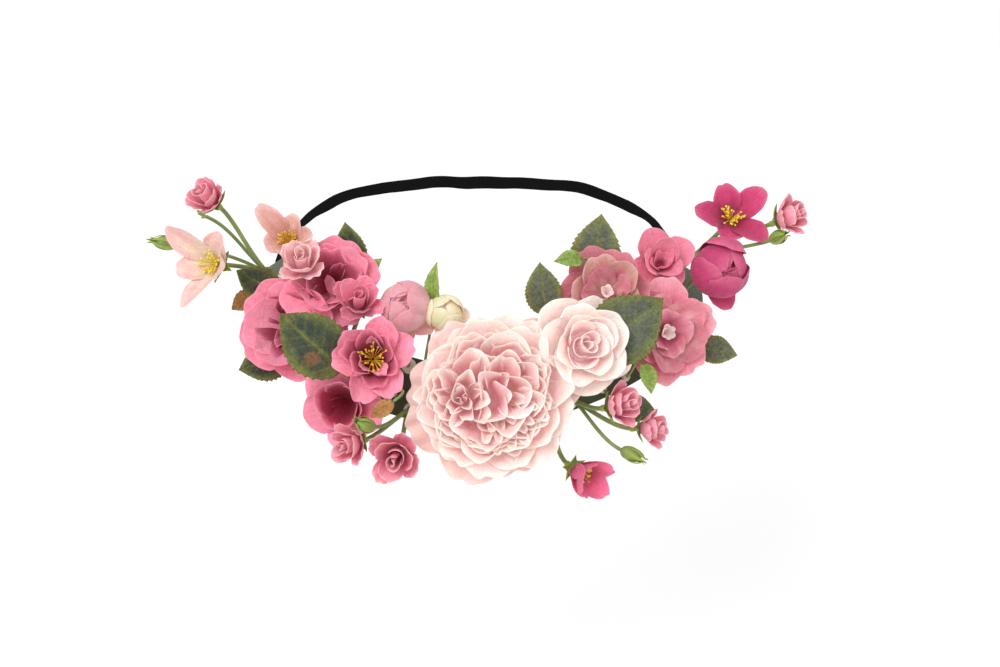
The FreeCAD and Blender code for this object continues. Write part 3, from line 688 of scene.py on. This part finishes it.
def open_cup(whorl, colour, inside):
    """A deep open cup with pale rims and a dark throat that is partly print and partly painted shade."""
    whorl(5, colour, 6, (1.3, 1.26), 64, 4, 58, ruffle=0.04, waves=1.6)
    whorl(5, inside, 40, (1.02, 1.02), 38, -4, 92, ruffle=0.03, waves=1.4, start=(0.05, 0.06))
    shaded_throat = Colour(CRIMSON_SHADED_FOOT, (0.3, 0.01, 0.04), MAGENTA, MAGENTA, 1.0, 0.5, power=1.6)
    whorl(3, shaded_throat, 80, (0.58, 0.34), 34, 0, 110, jitter=16, twist=14, fold=0.3, ruffle=0.05,
          start=(0.12, 0.08), notch=0.08, grid=(13, 11))
    # These low petals carry the throat's dark tint: partly print, partly painted shade under the cup.
    receptacle(whorl, shaded_throat)


def hydrangea(whorl, colour, second):
    """Loose, nearly flat round petals in overlapping layers, with a pale knot in the middle."""
    knot = Colour(PINK_LIGHT, WHITE, PINK_LIGHT, WHITE, 0.8, 0.6)
    whorl(6, colour, 0, (1.26, 1.1), 70, -4, 44, jitter=11, twist=14, ruffle=0.045, waves=1.4, notch=0.06)
    whorl(5, second, 34, (1.1, 1.00), 52, 0, 60, jitter=11, twist=14, ruffle=0.05, waves=1.4,
          start=(0.04, 0.08), notch=0.06)
    whorl(4, colour, 10, (0.84, 0.76), 36, 0, 80, jitter=14, twist=16, ruffle=0.05, start=(0.04, 0.1),
          grid=(13, 11))
    whorl(6, knot, 20, (0.36, 0.24), 24, 10, 130, start=(0.0, 0.24), grid=(9, 7))


def ball_bloom(whorl, colour):
    """A closed globe of wide petals wrapped over each other, with petals spread below it on one side."""
    whorl(3, colour, 15, (1.56, 1.1), 22, -50, 130, start=(0.06, 0.05), grid=(13, 9))
    whorl(2, colour, 75, (1.42, 0.9), 4, -8, 190, power=3.0, start=(0.12, 0.05), rounding=0.2, grid=(13, 9))
    whorl(3, colour, 30, (2.06, 1.6), 92, -180, 118, power=0.95, start=(0.03, 0.06), rounding=0.16, base=0.4,
          crumple=0.4, grid=(19, 13))
    whorl(3, colour, 0, (2.4, 1.56), 92, -176, 118, power=0.95, ruffle=0.01, rounding=0.22, base=0.4,
          crumple=0.5, grid=(21, 13))
    whorl(3, colour, 58, (2.3, 1.62), 98, -160, 112, power=0.95, start=(0.03, -0.04), ruffle=0.02,
          rounding=0.26, base=0.4, crumple=0.5, grid=(21, 13))
    whorl(3, colour, 270, (1.3, 0.98), 86, -30, 60, arc=150, ruffle=0.03, grid=(15, 11))


def five_petals(whorl, colour, width=0.8, lean=50, curl=24, long=0.0):
    """An open five-petalled blossom. long stretches every second petal into a strap."""
    for i in range(5):
        stretch = long if i % 2 == 0 else 0.0
        whorl(1, colour, 72 * i + 12, (1.16 * (1 + stretch), width * (1 - 0.4 * stretch)), lean, curl, 64,
              jitter=8, twist=12, ruffle=0.05, waves=1.3, notch=0.04, rounding=0.34, base=0.22, grid=(15, 11))


def double_blossom(whorl, colour, inside):
    """Cupped, rounded petals in two layers around a ring of stamens and a dark throat that is partly print
    and partly painted shade.
    """
    whorl(6, colour, 10, (1.22, 0.9), 62, -4, 74, jitter=12, twist=12, ruffle=0.05, waves=1.5, notch=0.1)
    whorl(6, inside, 40, (1.00, 0.72), 40, -8, 92, jitter=14, twist=14, ruffle=0.05, waves=1.5,
          start=(0.08, 0.05), notch=0.08, grid=(15, 11))
    whorl(3, colour, 70, (0.78, 0.5), 22, -4, 100, jitter=20, twist=20, fold=0.2, ruffle=0.04,
          start=(0.22, 0.08), grid=(13, 9))
    receptacle(whorl, inside)


def half_open_bud(whorl, colour, spread=0.0):
    """A rosebud: a rolled heart inside wrapped petals whose rims turn out."""
    for i in range(4):
        grow = i / 3
        whorl(1, colour, 137 * i, (1.62, 0.55 + 0.6 * grow), 2 + 6 * grow, 6, 220 - 40 * grow, jitter=4,
              power=4.0, start=(0.08 + 0.18 * grow, 0.02), rounding=0.16, grid=(13, 9))
    whorl(3, colour, 20, (1.72, 1.3), 46, -40 + spread, 120, power=0.8, roll=0.12, start=(0.05, 0.0),
          rounding=0.24, ruffle=0.04, grid=(15, 11))
    whorl(4, colour, 60, (1.58, 1.15), 64, -44 + spread, 100, power=0.9, roll=0.16, start=(0.05, 0.0),
          rounding=0.26, ruffle=0.07, grid=(15, 11))


def loose_petals(whorl, colour, count, lean, close=-34):
    """Broad, smooth petals that close over each other."""
    whorl(count, colour, 20, (1.42, 1.36), lean, close, 92, ruffle=0.03, waves=1.2)
    whorl(3, colour, 60, (1.34, 1.16), lean * 0.6, close, 112, ruffle=0.03, waves=1.2, start=(0.05, 0.05))
    whorl(4, colour, 10, (0.78, 0.6), 24, -10, 100, jitter=16, twist=16, fold=0.2, ruffle=0.04,
          start=(0.1, 0.08), grid=(13, 9))
    receptacle(whorl, colour)


# The dark feet in the magenta sets below are partly print and partly painted shade deep in the flowers.
MAGENTA_PRINT_AND_SHADE = Colour(MAGENTA_SHADED_FOOT, MAGENTA_LIGHT, MAGENTA_LIGHT, MAGENTA_LIGHT, 0.52, 0.5, 0.12, 0.06)
MAGENTA_INSIDE = Colour(CRIMSON_SHADED_FOOT, (0.68, 0.15, 0.25), MAGENTA_LIGHT, MAGENTA_LIGHT, 1.1, 0.6, 0.1, power=1.8)
CUP_INSIDE = Colour(CRIMSON_SHADED_FOOT, (0.5, 0.05, 0.11), MAGENTA_LIGHT, MAGENTA_LIGHT, 1.0, 0.8, power=2.4)
MOTTLED = Colour(BLUSH, (0.66, 0.22, 0.27), PINK, PINK, 0.8, 0.4, 0.12, 0.45)
MOTTLED_DARK = Colour((0.62, 0.34, 0.3), (0.54, 0.17, 0.21), PINK, PINK, 0.8, 0.3, 0.12, 0.45)
MOTTLED_PALE = Colour(MAGENTA, (0.54, 0.27, 0.23), (0.6, 0.28, 0.27), BLUSH, 0.8, 0.3, 0.12, 0.45)
PINK_PRINT = Colour(MAGENTA, PINK, PINK, PINK_LIGHT, 0.8, 0.4, 0.08, 0.12)
RASPBERRY = Colour(MAGENTA_SHADED_FOOT, (0.52, 0.055, 0.165), (0.5, 0.055, 0.155), MAGENTA_LIGHT, 0.7, 0.3, 0.08,
                   0.1)
BUD_PINK = Colour((0.56, 0.11, 0.18), (0.86, 0.34, 0.43), (0.84, 0.33, 0.41), PINK_LIGHT, 0.8, 0.6, 0.08,
                  power=1.4)
BLUSH_TIPPED = Colour((0.8, 0.62, 0.54), (0.62, 0.28, 0.32), (0.62, 0.28, 0.32), PINK, 1.0, 0.3, 0.06, 0.24,
                      2.4)
BLUSH_FOLDS = Colour(MAGENTA, BLUSH, PINK_LIGHT, BLUSH, 1.0, 0.5, 0.08, 0.35)
GREENISH = Colour(GREEN_CREAM, CREAM, GREEN_CREAM, CREAM, 1.0, 0.4)
PALE_BLOSSOM = Colour((0.74, 0.6, 0.47), (0.76, 0.44, 0.43), (0.8, 0.55, 0.52), PINK_LIGHT, 1.0, 0.4, 0.05,
                      0.45)
SALMON_BLOSSOM = Colour((0.58, 0.26, 0.2), (0.68, 0.4, 0.37), (0.78, 0.48, 0.48), BLUSH, 1.0, 0.4, 0.06, 0.3)
DEEP_BLOSSOM = Colour(MAGENTA_SHADED_FOOT, (0.72, 0.14, 0.255), (0.66, 0.12, 0.225), MAGENTA_LIGHT, 0.7, 0.3, 0.08,
                      0.1)

# A node of petals: the recipe, what the recipe takes, its material slot, and its visible size as a share of
# the radius in the frame.
FLOWERS = {
    "peony_guard": (peony_guard, (), "cream_petal", 1.0),
    "peony_cup": (peony_cup, (), "blush_petal", 1.0),
    "peony_heart": (peony_heart, (), "blush_petal", 1.0),
    "rose_outer": (rose_outer, (), "cream_petal", 1.03),
    "rose_heart": (rose_heart, (), "blush_petal", 1.03),
    "upper_left_bloom": (camellia, (MAGENTA_PRINT_AND_SHADE, MAGENTA_INSIDE), "magenta_petal", 1.02),
    "top_left_bloom": (camellia, (MAGENTA_PRINT_AND_SHADE, MAGENTA_INSIDE), "magenta_petal", 1.05),
    "left_cup_bloom": (half_open_bud, (MAGENTA_PRINT_AND_SHADE, 10), "magenta_petal", 1.15),
    "lower_left_bloom": (open_cup, (MAGENTA_PRINT_AND_SHADE, CUP_INSIDE), "deep_magenta_petal", 1.05),
    "left_stamen_bloom": (double_blossom, (MAGENTA_PRINT_AND_SHADE, MAGENTA_INSIDE), "magenta_petal", 1.02),
    "blush_bloom": (ball_bloom, (BLUSH_TIPPED,), "blush_petal", 0.95),
    "cream_bloom": (ball_bloom, (GREENISH,), "cream_petal", 0.85),
    "blush_bud": (half_open_bud, (BLUSH_FOLDS, 10), "blush_petal", 1.35),
    "mottled_bloom": (hydrangea, (MOTTLED_DARK, MOTTLED_PALE), "pink_petal", 1.0),
    "pink_bloom": (hydrangea, (PINK_PRINT, MOTTLED), "pink_petal", 1.0),
    "side_bloom": (loose_petals, (MAGENTA_PRINT_AND_SHADE, 4, 66, -20), "magenta_petal", 1.05),
    "round_bloom": (ball_bloom, (RASPBERRY,), "magenta_petal", 1.02),
    "left_tip_rosebud": (half_open_bud, (BUD_PINK, 10), "pink_petal", 1.0),
    "left_white_blossom": (five_petals, (PALE_BLOSSOM, 0.94, 40, 16, 0.5), "white_pink_petal", 1.1),
    "left_pink_blossom": (five_petals, (SALMON_BLOSSOM, 0.9, 34, 16, 0.4), "white_pink_petal", 1.1),
    "right_tip_rosebud": (half_open_bud, (BUD_PINK, 0), "pink_petal", 1.0),
    "right_open_blossom": (five_petals, (RASPBERRY, 1.0, 52, 20, 0.25), "deep_magenta_petal", 1.05),
    "lower_right_spray_rosebud": (half_open_bud, (BUD_PINK, 6), "magenta_petal", 1.08),
    "hanging_blossom": (five_petals, (DEEP_BLOSSOM, 1.05, 34, -6, 0.3), "deep_magenta_petal", 1.05),
    "lower_left_spray_rosebud": (half_open_bud, (BUD_PINK, 6), "magenta_petal", 1.05),
}


PALE_SLOTS = ("cream_petal", "blush_petal")


def make_flowers():
    """A piece of petals for every petal node."""
    for number, (name, (recipe, details, slot, size)) in enumerate(FLOWERS.items()):
        rng = np.random.default_rng(100 + number)
        sheet = Sheet()
        node = name + "_petals"
        for foot, axis, radius in seats(node):
            radius = WHOLE_RADIUS.get(name.split("_")[0], radius)
            recipe(Whorls(sheet, (foot, axis, radius * size), rng), *details)
        cloth = PALE_PETAL if slot in PALE_SLOTS else PETAL
        mesh_piece(name, sheet, cloth, NODES[node]["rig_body"], [node])


# ---- stamens, sepals and buds ----

GOLD, YELLOW = (0.72, 0.46, 0.04), (0.86, 0.7, 0.06)
FILAMENTS, FILAMENT_RADIUS = 34, 0.2
# An anther: how far along the filament's last direction, and how thick there.
ANTHER = ((-0.3, 0.0, 0.4, 0.8, 1.0), (0.2, 0.52, 0.62, 0.42, 0.15))


def make_stamens():
    """Tufts of thin filaments with an anther at each tip."""
    for number, name in enumerate(n for n in NODES if n.endswith("_stamens")):
        rng = np.random.default_rng(300 + number)
        sheet = Sheet()
        gold = GOLD if "pink" in name or "stamen_bloom" in name else YELLOW
        seat = seats(name.replace("_stamens", "_petals"))[0]
        radius = seat[2]
        t = np.linspace(0, 1, 6)
        for _ in range(FILAMENTS):
            turn = rng.uniform(0, 2 * math.pi)
            out = radius * (0.03 + rng.uniform(0.12, 0.36) * t ** 1.6)
            tall = radius * rng.uniform(0.3, 0.55)
            path = np.stack([out * math.cos(turn), out * math.sin(turn), radius * 0.05 + tall * t], -1)
            points = put(path, seat)
            sheet.rod(points, FILAMENT_RADIUS, gold, 5)
            heading = unit(points[-1] - points[-2])
            lobe = np.stack([points[-1] + heading * s for s in ANTHER[0]])
            sheet.rod(lobe, ANTHER[1], [c * rng.uniform(0.8, 1.15) for c in gold], 6)
        tuft, body = name.replace("_stamens", "_stamen_tuft"), NODES[name]["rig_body"]
        mesh_piece(tuft, sheet, STAMEN, body, [name])


LEAF_GREEN = (0.16, 0.24, 0.045)
SEPAL_GREEN = (0.25, 0.33, 0.045)
SEPAL_PRINT = Colour(SEPAL_GREEN, LEAF_GREEN, SEPAL_GREEN, (0.34, 0.4, 0.08), 1.0, 0.5)

# A calyx turned on its axis: heights from the petals' seat, with radii in millimetres for the ball foot and
# then as shares of the rim's radius.
FOOT_PROFILE = ((-5.4, 0.5), (-5.1, 1.25), (-3.8, 1.6), (-2.6, 1.35))
CUP_PROFILE = ((-1.9, 0.72), (-1.0, 0.95), (-0.7, 0.4))
SEPAL_HEIGHT = 4.2

# The feet of the calyces under open flowers, whose sepals lie flat. Under a bud they stand up.
BUD_NODES = [n for n in NODES if n.endswith(("_rosebud_petals", "_bud_petals", "left_cup_bloom_petals"))]
BLOSSOM_FEET = [
    foot - axis * CALYX_HEIGHT
    for n in NODES if n.endswith("_petals") and n not in BUD_NODES
    for foot, axis, _ in seats(n)
]


def make_calyces():
    """The cup, ball foot and pointed sepals under every flower."""
    for number, name in enumerate(CALYX_NODES):
        rng = np.random.default_rng(400 + number)
        sheet = Sheet()
        for low, axis in (c[1:] for c in CALYCES if c[0] == name):
            cloud = [c for c in islands(name) if np.linalg.norm(c - low, axis=1).min() < SAME_PLACE][0]
            rim = off_axis(cloud, low, axis).max()
            seat = (low + axis * CALYX_HEIGHT, axis, rim)
            profile = FOOT_PROFILE + tuple((z, share * rim) for z, share in CUP_PROFILE)
            path = np.array([[0, 0, z] for z, _ in profile])
            sheet.rod(put(path, seat), [r for _, r in profile], SEPAL_GREEN, 14)
            bud = not any(np.linalg.norm(low - blossom) < SAME_PLACE for blossom in BLOSSOM_FEET)
            long, wide, curl = (4.2, 2.0, -52) if bud else (2.0, 1.5, -14)
            for i in range(5):
                length = long * rim * (1 + rng.uniform(-0.12, 0.12))
                foot = (rim * 0.6, SEPAL_HEIGHT)
                grid, u, v = petal(rng, length, rim * wide, foot, 84, curl, 70, power=0.8, ruffle=0.12,
                                   waves=1.0, rounding=0.62, base=0.75, grid=(9, 5))
                grid[..., 1] *= np.clip(1.25 - u ** 2 * 1.15, 0.12, 1)
                grid = turn_about(grid, 72 * i + rng.uniform(-6, 6))
                front, back = SEPAL_PRINT.paint(rng, u, v)
                sheet.sheet(put(grid, (low, axis, 1.0)), SEPAL_THICK, front, back, places_on(u, v, i))
        sepals, body = re.sub("calyces|calyx", "sepals", name), NODES[name]["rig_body"]
        mesh_piece(sepals, sheet, GREEN, body, [name])


# Only a closed bud is this thick, in millimetres, on a spray's stem.
BUD_SPAN = (4.2, 6.2)
# A bud: its radius, how far its middle is above its foot, how far it bulges along its axis, the height at
# which its prongs part, their length, and the reach round its middle in which its skin is looked for.
BUD_RADIUS, BUD_MIDDLE, BUD_BULGE, BUD_TIP, PRONG_LENGTH, BUD_REACH = 2.9, 4.3, 5.4, 8.6, 12.2, 6
FEWEST_FACES = 30


def bud_seat(node):
    """The foot and axis of the closed bud on a stem, or None where the stem has no bud."""
    mesh = NODES[node].data
    tree = BVHTree.FromPolygons([v.co for v in mesh.vertices], [p.vertices for p in mesh.polygons])
    skin, cores = [], []
    for face in mesh.polygons:
        span = tree.ray_cast(face.center - face.normal * 0.01 * MM, -face.normal)[3]
        if span and BUD_SPAN[0] < span / MM < BUD_SPAN[1]:
            skin.append(face.center / MM)
            cores.append((face.center - face.normal * span / 2) / MM)
    if len(skin) < FEWEST_FACES:
        return None
    skin = np.array(skin)
    middle = np.median(np.array(cores), axis=0)
    skin = skin[np.linalg.norm(skin - middle, axis=1) < BUD_REACH]
    axis = np.linalg.eigh(np.cov((skin - middle).T))[1][:, 2]
    joint = [j for j in frame["joints"] if j["child"] == NODES[node]["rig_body"]][0]
    if axis @ (middle - np.array(joint["pos_m"]) / MM) < 0:
        axis = -axis
    return middle - axis * BUD_MIDDLE, axis


def make_buds():
    """Five narrow sepals that hug each closed bud and part into prongs above its tip."""
    for number, name in enumerate(n for n in NODES if n.endswith("_stem")):
        seat = bud_seat(name)
        if seat is None:
            continue
        rng = np.random.default_rng(450 + number)
        sheet = Sheet()
        u, v = unit_grid(15, 5)
        for i in range(5):
            tall = PRONG_LENGTH * u * rng.uniform(0.92, 1.06)
            swell = np.sqrt(np.clip(1 - ((tall - BUD_MIDDLE) / BUD_BULGE) ** 2, 0.02, 1))
            out = BUD_RADIUS * swell + 0.25 + 0.3 * np.clip(tall - BUD_TIP, 0, 4)
            half = 1.45 * (1 - u) ** 0.7 + 0.12
            around = math.radians(72 * i + rng.uniform(-5, 5)) + v * half / np.maximum(out, 1.0)
            grid = np.stack([out * np.cos(around), out * np.sin(around), tall], -1)
            front, back = SEPAL_PRINT.paint(rng, u, v)
            sheet.sheet(put(grid, (*seat, 1.0)), PRONG_THICK, front, back, places_on(u, v, i))
        sepals, body = name.replace("_stem", "_bud_sepals"), NODES[name]["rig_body"]
        mesh_piece(sepals, sheet, GREEN, body)


# ---- leaves ----


def leaf_seat(points):
    """A blade's middle, the ways it points, spans and faces, and its length and width."""
    middle = points.mean(0)
    face, _, long = np.linalg.eigh(np.cov((points - middle).T))[1].T
    along = (points - middle) @ long
    if along.max() < -along.min():
        long, along = -long, -along
    tall = (points - middle) @ face
    ends = np.abs(along - (along.max() + along.min()) / 2) > 0.42 * np.ptp(along)
    if tall[ends].mean() > tall[~ends].mean():
        face, tall = -face, -tall
    wide = np.cross(face, long)
    centre = middle + long * (along.max() + along.min()) / 2 + face * np.median(tall[~ends])
    return centre, long, wide, face, np.ptp(along), np.ptp((points - middle) @ wide)


DARK = (0.042, 0.058, 0.04)
GREY_GREEN = (0.105, 0.125, 0.09)
OLIVE = (0.19, 0.205, 0.05)
UNDER = (0.13, 0.16, 0.08)
BRIGHT = (0.26, 0.4, 0.09)
BRIGHT_RIM = (0.36, 0.46, 0.13)
TAN = (0.36, 0.17, 0.06)
TAN_RIM = (0.42, 0.24, 0.09)
RUST = (0.22, 0.11, 0.05)

# Only a leaf wider than this, the big one, has a rust patch, at these places along it and across it.
PATCH_WIDTH, PATCH_ALONG, PATCH_ACROSS = 24.0, 0.35, 0.35
TOOTH_DEPTH, SIDE_VEINS, VEIN_SLANT = 0.13, 7.5, 1.6

# A node of leaves: its material slot, its tints (middle, rim, underside, patch), how many teeth a side has,
# and how steeply the leaf is folded along its midrib.
LEAVES = {
    "green_leaves_left": ("green_leaf", (DARK, OLIVE, UNDER, RUST), 12, 0.16),
    "green_leaves_right": ("green_leaf", (GREY_GREEN, OLIVE, UNDER, None), 14, 0.12),
    "bright_leaves": ("bright_leaf", (BRIGHT, BRIGHT_RIM, BRIGHT_RIM, None), 6, 0.25),
    "brown_leaves": ("brown_leaf", (TAN, TAN_RIM, TAN, None), 6, 0.2),
}


def leaf_sheet(sheet, rng, points, tints, teeth, fold):
    """One printed cloth leaf: a toothed rim, raised veins, a folded midrib and a soft curl."""
    centre, long, wide, face, length, width = leaf_seat(points)
    heart, rim, under, patch = tints
    u, v = unit_grid(6 * teeth + 1, 27)
    side = np.abs(v)
    outline = 1.04 * np.sin(math.pi * u ** 0.76) ** (0.5 + 0.5 * u)
    tooth = 1 - TOOTH_DEPTH * ((u * teeth) % 1.0) * (side > 0.99) * (u > 0.05) * (u < 0.97)
    x = (u - 0.5) * length * 1.04 + side * outline * 0.03 * length
    y = v * (width / 2 * np.maximum(outline, 0.015) * tooth)
    vein = np.abs(((u * SIDE_VEINS - side * VEIN_SLANT) % 1.0) - 0.5)
    relief = -0.35 * bell(vein, 0.1) * (1 - side ** 4) - 0.7 * bell(v, 0.08)
    phase = rng.uniform(0, 6.28, 3)
    wave = np.sin(6 * u + phase[0]) * v ** 2 + np.sin(9 * u + phase[1]) * v ** 3
    z = -(x ** 2) / (2.6 * length) + fold * np.abs(y) + 0.02 * width * wave + relief * 0.55
    grid = centre + x[..., None] * long + y[..., None] * wide + z[..., None] * face
    to_rim = np.maximum(side, np.abs(u - 0.5) * 2)
    edge = np.clip((to_rim - 0.45) / 0.55, 0, 1) ** 1.3
    blot = 0.12 * np.sin(11 * u + phase[2]) * np.sin(5 * v + phase[0])
    ribs = 0.6 * bell(v, 0.07) + 0.3 * bell(vein, 0.09) * (1 - side ** 3)
    front = mix(mix(heart, rim, edge + blot), np.asarray(rim) * 1.1, ribs)
    if patch is not None and width > PATCH_WIDTH:
        spot = 2.4 * bell(u - PATCH_ALONG, 0.1) * bell(v - PATCH_ACROSS, 0.26) - 0.7
        front = mix(front, patch, np.clip(spot, 0, 0.75))
    front = mix(front, RUST, 0.55 * np.clip((to_rim - 0.93) * 20, 0, 1))
    places = places_on(u * 2, v, rng.uniform(0, 40))
    front = front * rng.uniform(0.85, 1.12)
    sheet.sheet(grid, LEAF_THICK, front, mix(under, rim, edge * 0.5), places)


def make_leaves():
    """A piece for every group of leaves."""
    for number, (name, (slot, tints, teeth, fold)) in enumerate(LEAVES.items()):
        rng = np.random.default_rng(500 + number)
        sheet = Sheet()
        for points in islands(name):
            leaf_sheet(sheet, rng, points, tints, teeth, fold)
        mesh_piece(name + "_cloth", sheet, LEAF, NODES[name]["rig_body"], [name], rounds=0)


# ---- elastic ----

ELASTIC_NODES = ("elastic_front_run", "elastic_side_runs", "elastic_back_run")
# The loop is read at this many angles, from a start that misses the CAD's own corners, and each step is then
# divided into this many ribs.
LOOP_STEPS, LOOP_START, RIBS_PER_STEP = 180, 0.37, 5
# The band's outline, one rib of it: shares of its half width, and heights in millimetres.
ACROSS = np.array([-0.94, -1, -0.94, -0.6, -0.3, 0, 0.3, 0.6, 0.94, 1, 0.94, 0.6, 0.3, 0, -0.3, -0.6])
RISE = np.array([-0.3, 0, 0.3, 0.46, 0.38, 0.46, 0.38, 0.46, 0.3, 0, -0.3, -0.46, -0.38, -0.46, -0.38, -0.46])
ELASTIC_BLACK = 0.0045


def section(edges, angle):
    """Where the edges of a run cross the upright half-plane at an angle round the ring."""
    outward = np.array([math.sin(angle), -math.cos(angle), 0])
    normal = np.array([math.cos(angle), math.sin(angle), 0])
    starts, ends = edges
    a, b = starts @ normal, ends @ normal
    crossing = a * b < 0
    share = (a[crossing] / (a[crossing] - b[crossing]))[:, None]
    points = starts[crossing] * (1 - share) + ends[crossing] * share
    return points[points @ outward > 0]


def run_edges():
    """Every edge of the elastic's runs, as two arrays of end points in millimetres."""
    ends = []
    for name in ELASTIC_NODES:
        mesh = NODES[name].data
        points = np.array([v.co for v in mesh.vertices]) / MM
        ends.append(points[np.array([e.vertices for e in mesh.edges])])
    return np.concatenate(ends).transpose(1, 0, 2)


def smoothed(loop, weight):
    """A closed loop of values, each averaged with its neighbours and with weight times itself."""
    return (np.roll(loop, 1, 0) + weight * loop + np.roll(loop, -1, 0)) / (weight + 2)


def make_elastic():
    """The woven elastic loop: one ribbed band with slightly puckered edges."""
    edges = run_edges()
    centres, spans, halves = [], [], []
    for angle in (np.arange(LOOP_STEPS) + LOOP_START) * 2 * math.pi / LOOP_STEPS:
        points = section(edges, angle)
        if len(points) < 4:
            continue
        far = farthest(points, (points.max(0) + points.min(0)) / 2)
        other = farthest(points, far)
        span = unit(far - other)
        spans.append(-span if spans and span @ spans[-1] < 0 else span)
        centres.append((far + other) / 2)
        halves.append(np.linalg.norm(far - other) / 2)
    centres, spans, half = np.array(centres), np.array(spans), float(np.median(halves))
    for _ in range(2):
        spans, centres = smoothed(spans, 1), smoothed(centres, 2)
    count = len(centres) * RIBS_PER_STEP
    t = np.arange(count) / RIBS_PER_STEP
    low = np.floor(t).astype(int)
    share = (t - low)[:, None]
    high = (low + 1) % len(centres)
    centre = centres[low] * (1 - share) + centres[high] * share
    span = spans[low] * (1 - share) + spans[high] * share
    span /= np.linalg.norm(span, axis=1, keepdims=True)
    ahead = np.roll(centre, -1, 0) - np.roll(centre, 1, 0)
    face = np.cross(ahead / np.linalg.norm(ahead, axis=1, keepdims=True), span)
    rng = np.random.default_rng(700)
    around = 2 * math.pi * np.arange(count) / count
    pucker = sum(rng.uniform(0.033, 0.11) * np.sin(k * around + rng.uniform(0, 6)) for k in (19, 31, 47, 71))
    sway = sum(np.sin(k * around + rng.uniform(0, 6)) for k in (9, 14, 23))
    centre = centre + 0.22 * sway[:, None] * span + 0.18 * np.roll(sway, 40)[:, None] * face
    rib = np.cos(math.pi * np.arange(count))
    width = half * ACROSS * (1 + 0.03 * pucker[:, None])
    lift = RISE * (1 + 0.05 * rib[:, None]) + (np.abs(ACROSS) > 0.9) * pucker[:, None] * 0.6
    points = centre[:, None] + width[..., None] * span[:, None] + lift[..., None] * face[:, None]
    shade = np.repeat(ELASTIC_BLACK * (1 + 0.35 * rib), len(ACROSS))
    flat = points.reshape(-1, 3)
    sheet = Sheet()
    sheet.add(flat, ring_faces(count, len(ACROSS), closed=True), np.outer(shade, (1, 1, 1.08)), flat * 0.2)
    piece = mesh_piece("elastic_band", sheet, ELASTIC, None, ELASTIC_NODES, rounds=0)
    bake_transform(piece)


# ---- carried-over nodes, studio and camera ----


def paint_nodes():
    """Procedural materials for the CAD nodes that stay in view."""
    paints = {
        "felt_base": FELT, "felt_cover": FELT, "glue_pads": GLUE, "shaping_wires": WIRE,
        "end_stitches": THREAD, "flower_stems": STEM, "leaf_stalks": STEM,
    }
    paints.update({n: STEM for n in NODES if n.endswith("_stem")})
    for name, material in paints.items():
        data = NODES[name].data
        data.materials.clear()
        data.materials.append(material)


def area_light(name, place, size, power):
    """A soft square light that looks at the middle of the crown."""
    data = bpy.data.lights.new(name, "AREA")
    data.size = size
    data.energy = power
    light = placed(name, data)
    light.location = place
    light.rotation_euler = (-Vector(place)).to_track_quat("-Z", "Y").to_euler()


FLOOR_REACH, FLOOR_GAP = 6.0, 0.25


def make_studio():
    """A pale floor, an even white sky and two large soft lights."""
    mesh = bpy.data.meshes.new("floor")
    corners = [(x * FLOOR_REACH, y * FLOOR_REACH) for x, y in ((-1, -1), (1, -1), (1, 1), (-1, 1))]
    mesh.from_pydata([(*corner, CAD_LOW.z - FLOOR_GAP) for corner in corners], [], [(0, 1, 2, 3)])
    floor = placed("floor", mesh)
    pale = Paint("pale_floor")
    pale.set(Base_Color=(0.97, 0.97, 0.97, 1), Roughness=0.9)
    mesh.materials.append(pale.material)
    world = bpy.data.worlds.new("studio")
    world.use_nodes = True
    sky = world.node_tree.nodes["Background"]
    sky.inputs["Color"].default_value = (1, 1, 1, 1)
    sky.inputs["Strength"].default_value = 0.82
    bpy.context.scene.world = world
    area_light("key", (-0.5, -0.5, 1.1), 0.7, 9.5)
    area_light("fill", (0.7, -0.4, 0.7), 1.0, 2.0)
    bpy.context.scene.view_settings.view_transform = "Standard"


def make_camera():
    """A long lens, in front and above."""
    data = bpy.data.cameras.new("camera")
    data.sensor_width = 36.0
    data.lens = 80.5
    camera = placed("camera", data)
    camera.location = (0.0104, -0.7216, 0.6926)
    camera.rotation_euler = (math.radians(45), 0, 0)
    bpy.context.scene.camera = camera


def widest(name):
    """The largest radius in a petal node."""
    return max(seat[2] for seat in seats(name))


# Flowers whose layers are nodes of their own, and the radius that the layers share.
WHOLE_RADIUS = {"peony": widest("peony_guard_petals"), "rose": widest("rose_outer_petals")}

make_flowers()
make_stamens()
make_calyces()
make_buds()
make_leaves()
make_elastic()
paint_nodes()
make_studio()
make_camera()
